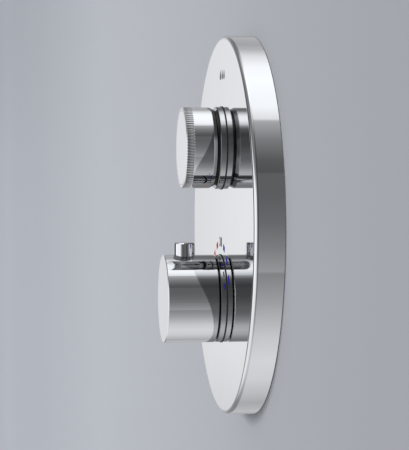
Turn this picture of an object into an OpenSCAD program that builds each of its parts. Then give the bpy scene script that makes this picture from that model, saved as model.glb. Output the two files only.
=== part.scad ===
// Thermostatic shower valve for concealed fitting: a round escutcheon, a flow handle above
// and a temperature handle below, and behind the wall the brass body with its cartridges.
// Every sub-part is drawn in valve coordinates: x to the right, y up, z out of the wall
// towards the user, with the finished wall at z = 0 and the escutcheon's centre at x = y = 0.

/* [Escutcheon] */
// Diameter of the escutcheon
plate_d = 210; // [190:1:240]
// How far the escutcheon's face stands in front of the wall
plate_depth = 16; // [15:0.5:20]
// Thickness of the escutcheon's rim wall
plate_rim_t = 2; // [1.5:0.1:2.4]
// Thickness of the escutcheon's face
plate_face_t = 2.2; // [1.6:0.1:2.6]
// Rounding of the escutcheon's front edge
plate_edge_r = 2.5; // [2.4:0.1:4]
// How far the escutcheon's face falls towards its edge
plate_fall = 1; // [0.5:0.1:1.5]
// Width of the zone in which the face falls
plate_fall_w = 10.5; // [6:0.5:12]
// Distance between the axes of the two handles
handle_pitch = 84; // [80:1:100]
// Height of the handles' midpoint above the escutcheon's centre
handles_raised = 1; // [0:0.5:4]

/* [Flow handle] */
// Diameter of the flow handle
flow_handle_d = 45; // [38:0.5:54]
// How far the flow handle stands in front of the escutcheon
flow_projection = 22.3; // [19:0.1:30]
// How far the fixed ring stands out past the flow handle's edge
flow_ring_proud = 0.4; // [0.1:0.1:1]
// Height of the fixed ring behind the flow handle
flow_ring_h = 3.6; // [3.2:0.1:4.2]
// Gap between the flow handle and its ring
flow_gap = 1.2; // [0.6:0.1:1.4]
// Number of grooves in the knurled band
knurl_grooves = 90; // [60:1:96]
// Depth of a knurl groove
knurl_depth = 0.4; // [0.2:0.05:0.5]
// Length of the knurled band
knurl_len = 3.4; // [2:0.1:4]

/* [Temperature handle] */
// Diameter of the temperature handle
temperature_handle_d = 49; // [42:0.5:58]
// How far the temperature handle stands in front of the escutcheon
temperature_projection = 32.3; // [32:0.1:40]
// How far the fixed ring stays within the temperature handle's edge
temperature_ring_inset = 0.1; // [0:0.1:1]
// Height of the fixed ring behind the temperature handle
temperature_ring_h = 3.4; // [3:0.1:4]
// Gap between the temperature handle and its ring
temperature_gap = 0.7; // [0.5:0.1:1.2]
// Diameter of the safety button
button_d = 11.5; // [10:0.1:12]
// How far the safety button stands out of the temperature handle
button_proud = 6.8; // [4:0.1:8]
// How far the safety button's axis stands in front of the escutcheon
button_forward = 20.5; // [20:0.1:21]
// Travel of the safety button
button_travel = 2.5; // [1.5:0.1:2.8]

/* [Valve body] */
// How far the body's necks end behind the finished wall
neck_setback = 12; // [9:0.5:15]
// How far the arms' axis lies behind the ends of the necks
arm_drop = 34; // [33.5:0.5:38]
// How far the face of a water port stands beside the body's barrel
port_projection = 50.5; // [42:0.5:70]
// Bore of a water port, the core diameter of its pipe thread
port_bore_d = 18.6; // [18:0.1:19]
// Length of a water port's bore
port_bore_len = 15; // [12:0.5:16]
// Width between the mounting holes of the bracket
bracket_hole_w = 90; // [80:1:110]
// Height between the mounting holes of the bracket
bracket_hole_h = 130; // [120:1:150]
// Diameter of a mounting hole
bracket_hole_d = 5.5; // [4:0.1:7]

/* [Hidden] */
$fn = 96;

// Overrun of a cutter past the face that it cuts
overrun = 0.5;
// Radial play of a shaft or slide in its bore
running_fit = 0.05;
// Play of a fixed piece in its seat
seat_fit = 0.1;
// Play of a piece dropped loosely over another
loose_fit = 0.2;
// Play left where a turning piece passes a fixed one
turning_gap = 0.3;

// Heights of the handle axes
flow_y = handles_raised + handle_pitch / 2;
temperature_y = handles_raised - handle_pitch / 2;

// Escutcheon
plate_r = plate_d / 2;
plate_back_z = plate_depth - plate_face_t;
plate_inner_edge_r = 1;
fall_start_r = plate_r - plate_edge_r - plate_fall_w;
// Lap of the tight arc at the edge over the wide one
arc_lap = 0.0002;
seal_w = 4.4;
seal_h = 4;

// Sleeves that carry the escutcheon
washer_t = 1.5;
collar_t = 2;
collar_w = 2.5;
collar_z = plate_back_z - washer_t;

// Seals that the handles' fixed rings stand on
ring_seal_t = 0.4;
ring_seal_proud = 0.3;
ring_foot_z = plate_depth + ring_seal_t;

// Flow handle, from the escutcheon outwards
flow_handle_r = flow_handle_d / 2;
flow_ring_r = flow_handle_r + flow_ring_proud;
flow_ring_z = plate_depth + flow_ring_h;
flow_rear_z = flow_ring_z + flow_gap;
flow_front_z = plate_depth + flow_projection;
flow_rear_bevel_w = 1.1;
flow_rear_bevel_h = 2.4;
flow_front_bevel = 0.6;
knurl_width_share = 0.4775;
knurl_cutter_r = knurl_width_share * 2 * PI * flow_handle_r / knurl_grooves;
ring_bevel = 0.4;
flow_cap_t = 1.5;
flow_cap_inset = 1.8;
flow_cap_r = flow_handle_r - flow_cap_inset;
flow_cap_bevel = 0.15;
flow_cap_z = flow_front_z - flow_cap_t;
screw_pocket_h = 3;
screw_pocket_r = 5;
flow_floor_t = 1.6;
flow_pocket_z = flow_cap_z - screw_pocket_h;
flow_seat_z = flow_pocket_z - flow_floor_t;
flow_adapter_len = 6.2;
flow_hub_z = flow_seat_z - flow_adapter_len;
flow_hub_r = 8.5;
flow_wall_t = 2.5;
flow_bore_r = flow_handle_r - flow_wall_t;
limit_ring_inset = 1.9;
limit_ring_r = flow_handle_r - limit_ring_inset;
limit_ring_h = 2;
counterbore_h = 2.5;
flow_sleeve_inset = 3.5;
flow_sleeve_r = flow_handle_r - flow_sleeve_inset;
flow_sleeve_t = 3;
flow_sleeve_bore_r = flow_sleeve_r - flow_sleeve_t;
flow_lip_t = 1;
flow_sleeve_z = flow_ring_z - flow_lip_t;
flow_lip_r = flow_sleeve_bore_r + 0.5 * flow_lip_t;
flow_stop_h = 3.4;
flow_stop_half_angle = 80;
flow_lug_half_angle = 8;
flow_lug_w = 3;
flow_lug_h = 2.9;
flow_adapter_r = 6;
flow_screw_r = 2.5;
flow_screw_head_r = 4.5;
flow_screw_head_h = 2.8;
flow_screw_len = 11.6;
socket_r = 2.3;
socket_h = 2;

// Temperature handle, from the escutcheon outwards
temperature_handle_r = temperature_handle_d / 2;
temperature_ring_r = temperature_handle_r - temperature_ring_inset;
temperature_ring_z = plate_depth + temperature_ring_h;
temperature_rear_z = temperature_ring_z + temperature_gap;
temperature_front_z = plate_depth + temperature_projection;
temperature_front_t = 2.2;
temperature_wall_t = 2.2;
temperature_bore_r = temperature_handle_r - temperature_wall_t;
temperature_sleeve_inset = 4;
temperature_sleeve_r = temperature_handle_r - temperature_sleeve_inset;
temperature_sleeve_t = 1.5;
temperature_neck_r = temperature_sleeve_r - temperature_sleeve_t;
temperature_sleeve_bore_r = temperature_neck_r + running_fit;
temperature_lip_w = 1.65;
temperature_lip_r = temperature_sleeve_bore_r - temperature_lip_w;
temperature_lip_t = 4;
stop_ring_r = temperature_sleeve_r - seat_fit;
stop_ring_w = 3.4;
stop_ring_bore_r = stop_ring_r - stop_ring_w;
stop_ring_h = 2;
stop_spigot_h = 5.4;
stop_rim_t = 1.9;
stop_rim_h = 5;
temperature_hub_share = 0.347;
temperature_hub_r = temperature_hub_share * temperature_handle_r;
temperature_hub_t = 1.5;
adapter_r = temperature_hub_r - temperature_hub_t;
adapter_len = 14;
adapter_roof_t = 6.3;
adapter_seat_z = temperature_front_z - adapter_roof_t;
adapter_z = adapter_seat_z - adapter_len;
grub_r = 2.5;
grub_z = adapter_z + adapter_len / 2;
grub_end_r = temperature_hub_r - seat_fit;
grub_hole_r = 3;
grub_hex_r = 1.5;

// Safety button, measured outwards from the temperature axis
button_r = button_d / 2;
button_z = plate_depth + button_forward;
button_bore_bevel = 0.5;
button_top = temperature_handle_r + button_proud;
button_flange_w = 1.25;
button_flange_r = button_r + button_flange_w;
button_flange_inset = 3.7;
button_flange_top = temperature_handle_r - button_flange_inset;
button_flange_t = 2;
button_post_r = 4.4;
button_post_bore_r = 3.5;
button_post_bore_h = 4.5;
button_bevel = 0.5;
tongue_w = 4;
tongue_share = 0.106;
tongue_h = tongue_share * temperature_handle_r;
tongue_reach = 12;
tongue_play = 0.3;
carrier_w = 19;
carrier_h = 16;
carrier_floor_t = 1;
carrier_bottom = temperature_hub_r + seat_fit;
carrier_play = 0.15;
carrier_bore_r = button_flange_r + carrier_play;
carrier_inset = 3;
carrier_top = temperature_handle_r - carrier_inset;
button_bottom_play = 0.9;
button_post_bottom = carrier_bottom + carrier_floor_t + button_travel + button_bottom_play;
button_spring_wire_d = 0.6;
button_spring_r = 2.9;
button_spring_turns = 6;

// Stops for the safety button's tongue, as angles on the stop ring
rest_angle = 90;
hot_turn = 67.5;
cold_turn = 135;
tongue_half_angle = asin(tongue_w / 2 / button_post_bottom);
stop_clear_angle = 2;
stop_lug_angle = 8;
end_stop_bite = 1;
end_stop_r = button_post_bottom - end_stop_bite;
safety_stop_r = button_post_bottom + tongue_h + turning_gap;

// Body, from the necks inwards
neck_z = -neck_setback;
neck_len = 12;
barrel_z = neck_z - neck_len;
arm_z = neck_z - arm_drop;
flow_thread_t = 2;
flow_neck_r = flow_sleeve_r - flow_thread_t;
flow_neck_t = 2.3;
flow_chamber_r = flow_neck_r - flow_neck_t;
flow_barrel_step = 1;
flow_barrel_r = flow_sleeve_r + flow_barrel_step;
temperature_neck_t = 2;
temperature_chamber_r = temperature_neck_r - temperature_neck_t;
temperature_barrel_step = 1.5;
temperature_barrel_r = temperature_sleeve_r + temperature_barrel_step;
nut_thread_h = 8;
nut_hex_h = 6;
nut_room = 0.5;
shoulder_z = neck_z - nut_thread_h;
flow_housing_h = 20;
flow_floor_z = shoulder_z - flow_housing_h;
arm_r = 11.5;
flow_back_t = 0.5;
flow_barrel_back_z = arm_z - arm_r - flow_back_t;
zone_h = 6;
zone_pitch = 10;
first_zone_lift = 5;
thermostat_head_h = 9;
thermostat_housing_h = first_zone_lift + 2 * zone_pitch + zone_h + thermostat_head_h;
thermostat_back_z = shoulder_z - thermostat_housing_h;
chamber_room_h = 4;
chamber_floor_z = thermostat_back_z - chamber_room_h;
body_floor_t = 4;
body_back_z = chamber_floor_z - body_floor_t;
bridge_w = 20;
bridge_inset = 15;
bridge_h = handle_pitch - 2 * bridge_inset;
bridge_setback = 14;
bridge_back_z = body_back_z + bridge_setback;
mixed_r = 3.5;
foot_w = 40;
foot_h = 36;
foot_t = 12;
foot_front_z = bridge_back_z + foot_t;
boss_x = 15;
boss_y = 12;
boss_r = 5;
boss_screw_r = 1.7;
boss_screw_h = 12;

// Arms and water ports, measured sideways from the middle
port_reach = temperature_barrel_r + port_projection;
arm_bore_r = 8.4;
arm_bore_len = 11;
arm_throat_r = 4.5;
port_r = 14;
port_hex_r = 16;
port_grip = 8;
port_seal_t = 1.5;
port_seal_w = 2.8;
port_wall_t = 3;
port_wall_bore_r = 7.5;
arm_end = port_reach - port_bore_len - port_wall_t - port_seal_t;
port_bore_r = port_bore_d / 2;
gallery_r = 3;

// Isolating stops in the inlet arms
stop_barrel_r = 9.5;
stop_bore_r = 6.5;
stop_wall_t = 1.5;
stop_x = arm_end - arm_bore_len - stop_wall_t - stop_bore_r;
stop_depth = 8;
stop_floor_z = arm_z - stop_depth;
stop_setback = 1;
stop_front_z = barrel_z - stop_setback;
stop_plug_play = 0.5;
retainer_t = 3;
retainer_bore_r = 4;
stop_slot_w = 1.2;
stop_slot_h = 1.5;
stop_hole_r = 4.2;

// Check valves in the inlet arms, measured sideways from the middle
check_r = arm_bore_r - seat_fit;
check_wall_t = 1;
check_len = arm_bore_len - 2 * seat_fit;
check_start = arm_end - arm_bore_len + seat_fit;
check_web_t = 1.5;
check_web_hole_r = 1.4;
check_web_hole_at = 5;
check_hub_r = 3;
check_hub_h = 3.6;
check_seat_t = 2;
check_seat_r = 5;
poppet_r = 5.8;
poppet_t = 1.9;
poppet_stem_r = 1.5;
poppet_stem_len = 4.7;
poppet_dome_r = 4.5;
poppet_dome_h = 1.2;
check_spring_wire_d = 0.6;
check_spring_r = 4;
check_spring_turns = 3;

// Strainers
strainer_t = 1.2;
strainer_r = port_wall_bore_r - running_fit;
strainer_hole_r = 0.55;
strainer_pitch = 2.2;
strainer_rings = 2;

// Flow cartridge
disc_t = 4;
seat_seal_t = 2;
fixed_disc_z = flow_floor_z + seat_seal_t;
turning_disc_z = fixed_disc_z + disc_t;
turning_disc_top = turning_disc_z + disc_t;
flow_housing_r = flow_chamber_r - seat_fit;
flow_housing_t = 2.1;
flow_cavity_r = flow_housing_r - flow_housing_t;
disc_r = flow_cavity_r - seat_fit;
outlet_hole_x_share = 0.484;
outlet_hole_x = outlet_hole_x_share * disc_r;
outlet_hole_r_share = 0.282;
outlet_hole_r = outlet_hole_r_share * disc_r;
turning_disc_play = 0.4;
turning_disc_r = disc_r - turning_disc_play;
driver_room_h = 3.2;
flow_cavity_top = turning_disc_top + driver_room_h;
flow_waist_depth = 0.9;
flow_waist_r = flow_housing_r - flow_waist_depth;
flow_waist_h = 9;
flow_waist_drop = 1;
flow_waist_z = turning_disc_z - flow_waist_drop;
flow_window_w = 8;
flow_windows = 3;
flow_neck_h = 28;
flow_neck_top = shoulder_z + flow_neck_h;
flow_housing_neck_share = 0.736;
flow_housing_neck_r = flow_housing_neck_share * flow_cavity_r;
disc_key_r = 1.1;
disc_hole_r = outlet_hole_r - seat_fit;
flow_spindle_r = 4;
driver_share = 1.333;
driver_len = driver_share * turning_disc_r;
driver_w = 4;
driver_bite = 1;
driver_gap = 0.2;
flow_spline_teeth = 18;
spline_depth = 0.45;
flow_screw_bore_r = flow_screw_r + running_fit;
flow_screw_bore_len = 10.5;
spindle_gap = 0.2;

// Thermostat cartridge
thermostat_housing_r = temperature_chamber_r - seat_fit;
thermostat_neck_h = 26;
thermostat_neck_top = shoulder_z + thermostat_neck_h;
thermostat_wall_t = 3.4;
thermostat_cavity_r = thermostat_housing_r - thermostat_wall_t;
thermostat_floor_t = 4;
thermostat_cavity_z = thermostat_back_z + thermostat_floor_t;
thermostat_roof_t = 6;
thermostat_cavity_top = shoulder_z - thermostat_roof_t;
waist_depth = 1.7;
waist_r = thermostat_housing_r - waist_depth;
hot_zone_z = thermostat_back_z + first_zone_lift;
cold_zone_z = hot_zone_z + zone_pitch;
mixed_zone_z = cold_zone_z + zone_pitch;
window_lift = 2;
window_h = 3;
mixed_z = mixed_zone_z + zone_h / 2;
thermostat_window_w = 9;
thermostat_windows = 4;
guide_rib_share = 0.23;
guide_rib_w = guide_rib_share * thermostat_cavity_r;
guide_rib_t = 1.5;
guide_rib_h = 10;
guide_play = 0.2;
cup_share = 0.667;
cup_r = cup_share * thermostat_cavity_r;
thermostat_neck_t = 2;
thermostat_neck_r = cup_r + thermostat_neck_t;
cup_bore_share = 0.728;
cup_bore_r = cup_bore_share * cup_r;
cup_overhang = 2;
cup_z = shoulder_z - cup_overhang;
cup_len = 16;
cup_top = cup_z + cup_len;
cup_roof_t = 2;
thermostat_spindle_share = 0.5;
thermostat_spindle_r = thermostat_spindle_share * cup_r;
thermostat_spline_teeth = 20;
plunger_r = cup_bore_r - running_fit;
plunger_len = 16;
plunger_bore_share = 0.646;
plunger_bore_r = plunger_bore_share * plunger_r;
plunger_bore_len = 12;
plunger_lug_w = 3;
plunger_lug_h = 5;
plunger_room = 1;
plunger_z = thermostat_cavity_top - plunger_lug_h - plunger_room;
plunger_lug_play = 0.7;
plunger_lug_reach = thermostat_cavity_r - plunger_lug_play;
element_share = 0.37;
element_r = element_share * thermostat_cavity_r;
element_lift = 6;
element_z = thermostat_back_z + element_lift;
element_flange_share = 0.592;
element_flange_r = element_flange_share * thermostat_cavity_r;
element_flange_t = 3;
element_neck_share = 0.6;
element_neck_r = element_neck_share * element_r;
element_neck_len = 4;
element_pin_share = 0.3;
element_pin_r = element_pin_share * element_r;
element_pin_len = 2;
element_head_r = plunger_bore_r - loose_fit;
element_head_t = 1.5;
slide_r = thermostat_cavity_r - loose_fit;
slide_bore_share = 0.865;
slide_bore_r = slide_bore_share * slide_r;
slide_lift = 5;
slide_z = hot_zone_z + slide_lift;
slide_cut = 3;
slide_len = zone_pitch - slide_cut;
slide_web_lift = 2;
slide_web_z = slide_z + slide_web_lift;
slide_web_t = 2.5;
element_seat_lift = 3;
element_seat_z = slide_z + slide_len + element_seat_lift;
element_neck_z = element_seat_z + element_flange_t;
element_pin_z = element_neck_z + element_neck_len;
element_head_top = element_pin_z + element_pin_len + element_head_t;
slide_hub_t = 2;
slide_hub_r = element_r + slide_hub_t;
slide_hole_edge = 0.35;
slide_hole_r = (slide_bore_r - slide_hub_r) / 2 - slide_hole_edge;
slide_hole_at = (slide_bore_r + slide_hub_r) / 2;
slide_holes = 6;
return_spring_wire_d = 1.4;
return_spring_share = 0.592;
return_spring_r = return_spring_share * thermostat_cavity_r;
return_spring_turns = 4;
overload_spring_wire_d = 1.2;
overload_spring_play = 0.3;
overload_spring_r = plunger_bore_r - overload_spring_wire_d / 2 - overload_spring_play;
overload_spring_turns = 6;
filter_r = thermostat_housing_r - loose_fit;
filter_t = 0.8;
filter_slots = 16;
filter_slot_w = 1.6;
filter_edge = 1;

// Sealing rings and retaining rings
oring_d = 1.9;
oring_groove_w = 2.2;
oring_groove_depth = 1.85;
spindle_oring_d = 1.2;
spindle_oring_lift = 20;
spindle_oring_z = shoulder_z + spindle_oring_lift;
spindle_groove_w = 1.6;
circlip_t = 1;
circlip_gap = 0.1;
circlip_groove_depth = 0.8;
circlip_w = 3;
circlip_angle = 300;

// Mounting bracket
bracket_t = 3;
bracket_margin = 11;
bracket_corner_r = 8;
bracket_screw_clear_r = 2.2;
bracket_screw_r = 1.65;
bracket_screw_head_r = 4;
bracket_screw_head_h = 2.4;

// Fineness of the springs
spring_steps = 14;
spring_sides = 6;

module valve_frame() {
    rotate([90, 0, 0]) children();
}

module at_flow() {
    valve_frame() translate([0, flow_y, 0]) children();
}

module at_temperature() {
    valve_frame() translate([0, temperature_y, 0]) children();
}

// Turns a piece so that its own z axis runs outwards through the safety button
module at_button() {
    at_temperature() translate([0, 0, button_z]) rotate([-90, 0, 0]) children();
}

// Turns a piece so that its own z axis runs outwards along an arm, 1 to the right and -1 to the left
module at_arm(height, side) {
    valve_frame() translate([0, height, arm_z])
        mirror([side < 0 ? 1 : 0, 0, 0]) rotate([0, 90, 0]) children();
}

module rod(radius, bottom, top) {
    translate([0, 0, bottom]) cylinder(r = radius, h = top - bottom);
}

module tube(radius, bore, bottom, top) {
    difference() {
        rod(radius, bottom, top);
        rod(bore, bottom - overrun, top + overrun);
    }
}

// A box centred on the axis in x and y
module bar(width, height, bottom, top) {
    translate([-width / 2, -height / 2, bottom]) cube([width, height, top - bottom]);
}

// A solid of revolution from its half section, given as radius and z
module turned(points) {
    rotate_extrude() polygon(points);
}

// A part of a ring that starts at an angle and runs on for another
module ring_sector(radius, bore, bottom, top, start, sweep) {
    rotate([0, 0, start]) rotate_extrude(angle = sweep)
        translate([bore, bottom]) square([radius - bore, top - bottom]);
}

module oring(bore, thickness, height) {
    translate([0, 0, height]) rotate_extrude()
        translate([bore + thickness / 2, 0]) circle(d = thickness, $fn = 32);
}

// Pieces repeated at equal angles round the axis
module around(count, first = 0) {
    for (i = [0 : count - 1]) rotate([0, 0, first + 360 * i / count]) children();
}

// A straight bore between two points
module passage(start, finish, radius) {
    way = finish - start;
    translate(start)
        rotate([0, atan2(norm([way[0], way[1]]), way[2]), atan2(way[1], way[0])])
            cylinder(r = radius, h = norm(way));
}

// The outline of a splined end
module spline(radius, depth, teeth) {
    polygon([
        for (i = [0 : 2 * teeth - 1])
            let (reach = i % 2 == 0 ? radius : radius - depth)
                [reach * cos(180 * i / teeth), reach * sin(180 * i / teeth)]
    ]);
}

module splined_rod(radius, depth, teeth, bottom, top) {
    translate([0, 0, bottom]) linear_extrude(top - bottom) spline(radius, depth, teeth);
}

// A slotted ring that springs into a groove
module circlip(groove_r, height) {
    ring_sector(groove_r + circlip_w, groove_r, height, height + circlip_t, rest_angle, circlip_angle);
}

// Height of a spring's wire after some turns: the first and the last turn lie flat
function spring_rise(turn, turns, length, wire_d) =
    turn < 1 ? wire_d * turn
    : turn > turns - 1 ? length - wire_d * (1 + turns - turn)
    : wire_d + (length - 3 * wire_d) * (turn - 1) / (turns - 2);

// A compression spring of round wire, standing on z = 0
module spring(radius, wire_d, length, turns) {
    rings = turns * spring_steps;
    points = [
        for (i = [0 : rings], k = [0 : spring_sides - 1])
            let (turn = i / spring_steps, around = 360 * turn, side = 360 * k / spring_sides)
            let (reach = radius + wire_d / 2 * cos(side))
            [
                reach * cos(around),
                reach * sin(around),
                wire_d / 2 + spring_rise(turn, turns, length, wire_d) + wire_d / 2 * sin(side)
            ]
    ];
    skin = [
        for (i = [0 : rings - 1], k = [0 : spring_sides - 1])
            let (a = i * spring_sides + k, b = i * spring_sides + (k + 1) % spring_sides)
            [a, a + spring_sides, b + spring_sides, b]
    ];
    first_end = [for (k = [0 : spring_sides - 1]) k];
    last_end = [for (k = [spring_sides - 1 : -1 : 0]) rings * spring_sides + k];
    polyhedron(points, concat([first_end], skin, [last_end]));
}

// Escutcheon and what carries it

// Half outline of a dish: a flat face, a wide arc that falls from it and a tight arc at the edge,
// each arc tangent to what it meets
module dish_profile(radius, depth, edge) {
    fall_w = radius - edge - fall_start_r;
    arc_r = (pow(fall_w, 2) + pow(plate_fall, 2)) / (2 * plate_fall);
    edge_z = depth - arc_r + sqrt(pow(arc_r - edge, 2) - pow(fall_w, 2)) + arc_lap;
    arc_reach = fall_w * arc_r / (arc_r - edge);
    square([fall_start_r, depth]);
    translate([fall_start_r, 0]) intersection() {
        square([arc_reach, depth]);
        translate([0, depth - arc_r]) circle(arc_r);
    }
    square([radius, edge_z]);
    translate([radius - edge, edge_z]) circle(edge);
}

module escutcheon() {
    color("gainsboro") difference() {
        valve_frame() rotate_extrude() intersection() {
            square([plate_r, plate_depth]);
            difference() {
                dish_profile(plate_r, plate_depth, plate_edge_r);
                translate([0, -overrun])
                    dish_profile(plate_r - plate_rim_t, plate_back_z + overrun, plate_inner_edge_r);
            }
        }
        at_flow() rod(flow_sleeve_r + loose_fit, plate_back_z - overrun, plate_depth + overrun);
        at_temperature()
            rod(temperature_sleeve_r + loose_fit, plate_back_z - overrun, plate_depth + overrun);
    }
}

module escutcheon_seal() {
    seal_r = plate_r - plate_rim_t - seat_fit;
    color("dimgray") valve_frame() tube(seal_r, seal_r - seal_w, 0, seal_h);
}

module sleeve_washers() {
    color("dimgray") {
        at_flow() tube(flow_sleeve_r + collar_w, flow_sleeve_r + seat_fit, collar_z, plate_back_z);
        at_temperature()
            tube(temperature_sleeve_r + collar_w, temperature_sleeve_r + seat_fit, collar_z, plate_back_z);
    }
}

// A sleeve that screws over a neck of the body and stops on the neck's end
module sleeve(radius, bore, neck_r, lip_bore, lip_top, top) {
    difference() {
        union() {
            rod(radius, barrel_z + overrun, top);
            rod(radius + collar_w, collar_z - collar_t, collar_z);
        }
        rod(neck_r + running_fit, barrel_z, neck_z);
        rod(lip_bore, neck_z - overrun, top);
        rod(bore, lip_top, top + overrun);
    }
}

module flow_sleeve() {
    color("silver") at_flow()
        sleeve(flow_sleeve_r, flow_sleeve_bore_r, flow_neck_r, flow_sleeve_bore_r, neck_z, flow_sleeve_z);
}

module temperature_sleeve() {
    color("silver") at_temperature()
        sleeve(
            temperature_sleeve_r, temperature_sleeve_bore_r, temperature_neck_r,
            temperature_lip_r, neck_z + temperature_lip_t, temperature_ring_z
        );
}

module ring_seals() {
    color("dimgray") {
        at_flow() tube(
            flow_ring_r + ring_seal_proud, flow_sleeve_r + loose_fit, plate_depth, ring_foot_z
        );
        at_temperature() tube(
            temperature_ring_r + ring_seal_proud, temperature_sleeve_r + loose_fit,
            plate_depth, ring_foot_z
        );
    }
}

module base_ring(radius, bore, top) {
    difference() {
        turned([
            [0, ring_foot_z], [radius, ring_foot_z], [radius, top - ring_bevel],
            [radius - ring_bevel, top], [0, top]
        ]);
        rod(bore, ring_foot_z - overrun, top + overrun);
    }
}

module flow_base_ring() {
    color("gainsboro") at_flow() difference() {
        base_ring(flow_ring_r, flow_lip_r, flow_ring_z);
        rod(flow_sleeve_r + running_fit, ring_foot_z - overrun, flow_sleeve_z);
    }
}

module temperature_base_ring() {
    color("gainsboro") at_temperature()
        base_ring(temperature_ring_r, temperature_sleeve_r + running_fit, temperature_ring_z);
}

// Flow handle and its cartridge

module flow_limit_ring() {
    color("black") at_flow() {
        tube(limit_ring_r, flow_lip_r, flow_ring_z, flow_ring_z + limit_ring_h);
        ring_sector(
            flow_bore_r - turning_gap, flow_lip_r + seat_fit,
            flow_ring_z + limit_ring_h - seat_fit, flow_ring_z + limit_ring_h + flow_stop_h,
            -rest_angle - flow_stop_half_angle, 2 * flow_stop_half_angle
        );
    }
}

module knurl_cutters() {
    cutter_x = flow_handle_r + knurl_cutter_r - knurl_depth;
    cutter_top = flow_front_z - flow_front_bevel;
    around(knurl_grooves) translate([cutter_x, 0, 0]) {
        rod(knurl_cutter_r, cutter_top - knurl_len, cutter_top + overrun);
        translate([0, 0, cutter_top - knurl_len]) sphere(knurl_cutter_r);
    }
}

module flow_handle() {
    color("gainsboro") at_flow() {
        difference() {
            turned([
                [0, flow_rear_z], [flow_handle_r - flow_rear_bevel_w, flow_rear_z],
                [flow_handle_r, flow_rear_z + flow_rear_bevel_h],
                [flow_handle_r, flow_front_z - flow_front_bevel],
                [flow_handle_r - flow_front_bevel, flow_front_z], [0, flow_front_z]
            ]);
            rod(limit_ring_r + turning_gap, flow_rear_z - overrun, flow_rear_z + counterbore_h);
            difference() {
                rod(flow_bore_r, flow_rear_z, flow_seat_z);
                rod(flow_hub_r, flow_hub_z, flow_seat_z + overrun);
            }
            rod(flow_adapter_r + running_fit, flow_rear_z, flow_seat_z);
            rod(flow_screw_r + loose_fit, flow_rear_z, flow_front_z);
            rod(screw_pocket_r, flow_pocket_z, flow_front_z);
            rod(flow_cap_r + seat_fit, flow_cap_z, flow_front_z + overrun);
            knurl_cutters();
        }
        ring_sector(
            flow_bore_r + seat_fit, flow_bore_r - flow_lug_w,
            flow_rear_z + counterbore_h, flow_rear_z + counterbore_h + flow_lug_h,
            rest_angle - flow_lug_half_angle, 2 * flow_lug_half_angle
        );
    }
}

module flow_cap() {
    color("whitesmoke") at_flow() turned([
        [0, flow_cap_z], [flow_cap_r, flow_cap_z], [flow_cap_r, flow_front_z - flow_cap_bevel],
        [flow_cap_r - flow_cap_bevel, flow_front_z], [0, flow_front_z]
    ]);
}

module flow_adapter() {
    color("ivory") at_flow() difference() {
        rod(flow_adapter_r, flow_hub_z, flow_seat_z);
        splined_rod(
            flow_spindle_r, spline_depth, flow_spline_teeth,
            flow_hub_z - overrun, flow_seat_z + overrun
        );
    }
}

module flow_screw() {
    head_top = flow_pocket_z + flow_screw_head_h;
    color("silver") at_flow() difference() {
        union() {
            rod(flow_screw_head_r, flow_pocket_z, head_top);
            rod(flow_screw_r, flow_pocket_z - flow_screw_len, flow_pocket_z + seat_fit);
        }
        translate([0, 0, head_top - socket_h]) cylinder(r = socket_r, h = socket_h + overrun, $fn = 6);
    }
}

// A ring groove in a shaft
module shaft_groove(shaft_r, floor_r, bottom, top) {
    tube(shaft_r + overrun, floor_r, bottom, top);
}

module flow_spindle() {
    spindle_top = flow_seat_z - spindle_gap;
    color("goldenrod") at_flow() difference() {
        union() {
            rod(flow_spindle_r, turning_disc_top, flow_hub_z);
            splined_rod(
                flow_spindle_r - running_fit, spline_depth, flow_spline_teeth,
                flow_hub_z - overrun, spindle_top
            );
            bar(driver_len, driver_w, turning_disc_top - driver_bite, flow_cavity_top - driver_gap);
        }
        rod(flow_screw_bore_r, spindle_top - flow_screw_bore_len, spindle_top + overrun);
        shaft_groove(
            flow_spindle_r, flow_spindle_r - spindle_oring_d,
            spindle_oring_z - spindle_groove_w / 2, spindle_oring_z + spindle_groove_w / 2
        );
        shaft_groove(
            flow_spindle_r, flow_spindle_r - circlip_groove_depth,
            flow_neck_top + circlip_gap, flow_neck_top + circlip_gap + circlip_t
        );
    }
}

module flow_spindle_oring() {
    color("black") at_flow()
        oring(flow_spindle_r - spindle_oring_d, spindle_oring_d, spindle_oring_z);
}

module flow_circlip() {
    color("silver") at_flow()
        circlip(flow_spindle_r - circlip_groove_depth, flow_neck_top + circlip_gap);
}

// A threaded ring with a hexagon that holds a cartridge down
module cartridge_nut(radius, bore, hex_r) {
    difference() {
        union() {
            rod(radius, shoulder_z, neck_z);
            rod(bore + nut_room, shoulder_z, neck_z + nut_hex_h);
            translate([0, 0, neck_z]) cylinder(r = hex_r, h = nut_hex_h, $fn = 6);
        }
        rod(bore, shoulder_z - overrun, neck_z + nut_hex_h + overrun);
    }
}

module flow_nut() {
    color("goldenrod") at_flow()
        cartridge_nut(
            flow_chamber_r - seat_fit, flow_housing_neck_r + seat_fit, flow_sleeve_bore_r - nut_room
        );
}

// Windows through a cartridge's wall
module windows(count, width, reach, bottom, top, first) {
    around(count, first) translate([0, -width / 2, bottom]) cube([reach, width, top - bottom]);
}

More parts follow.
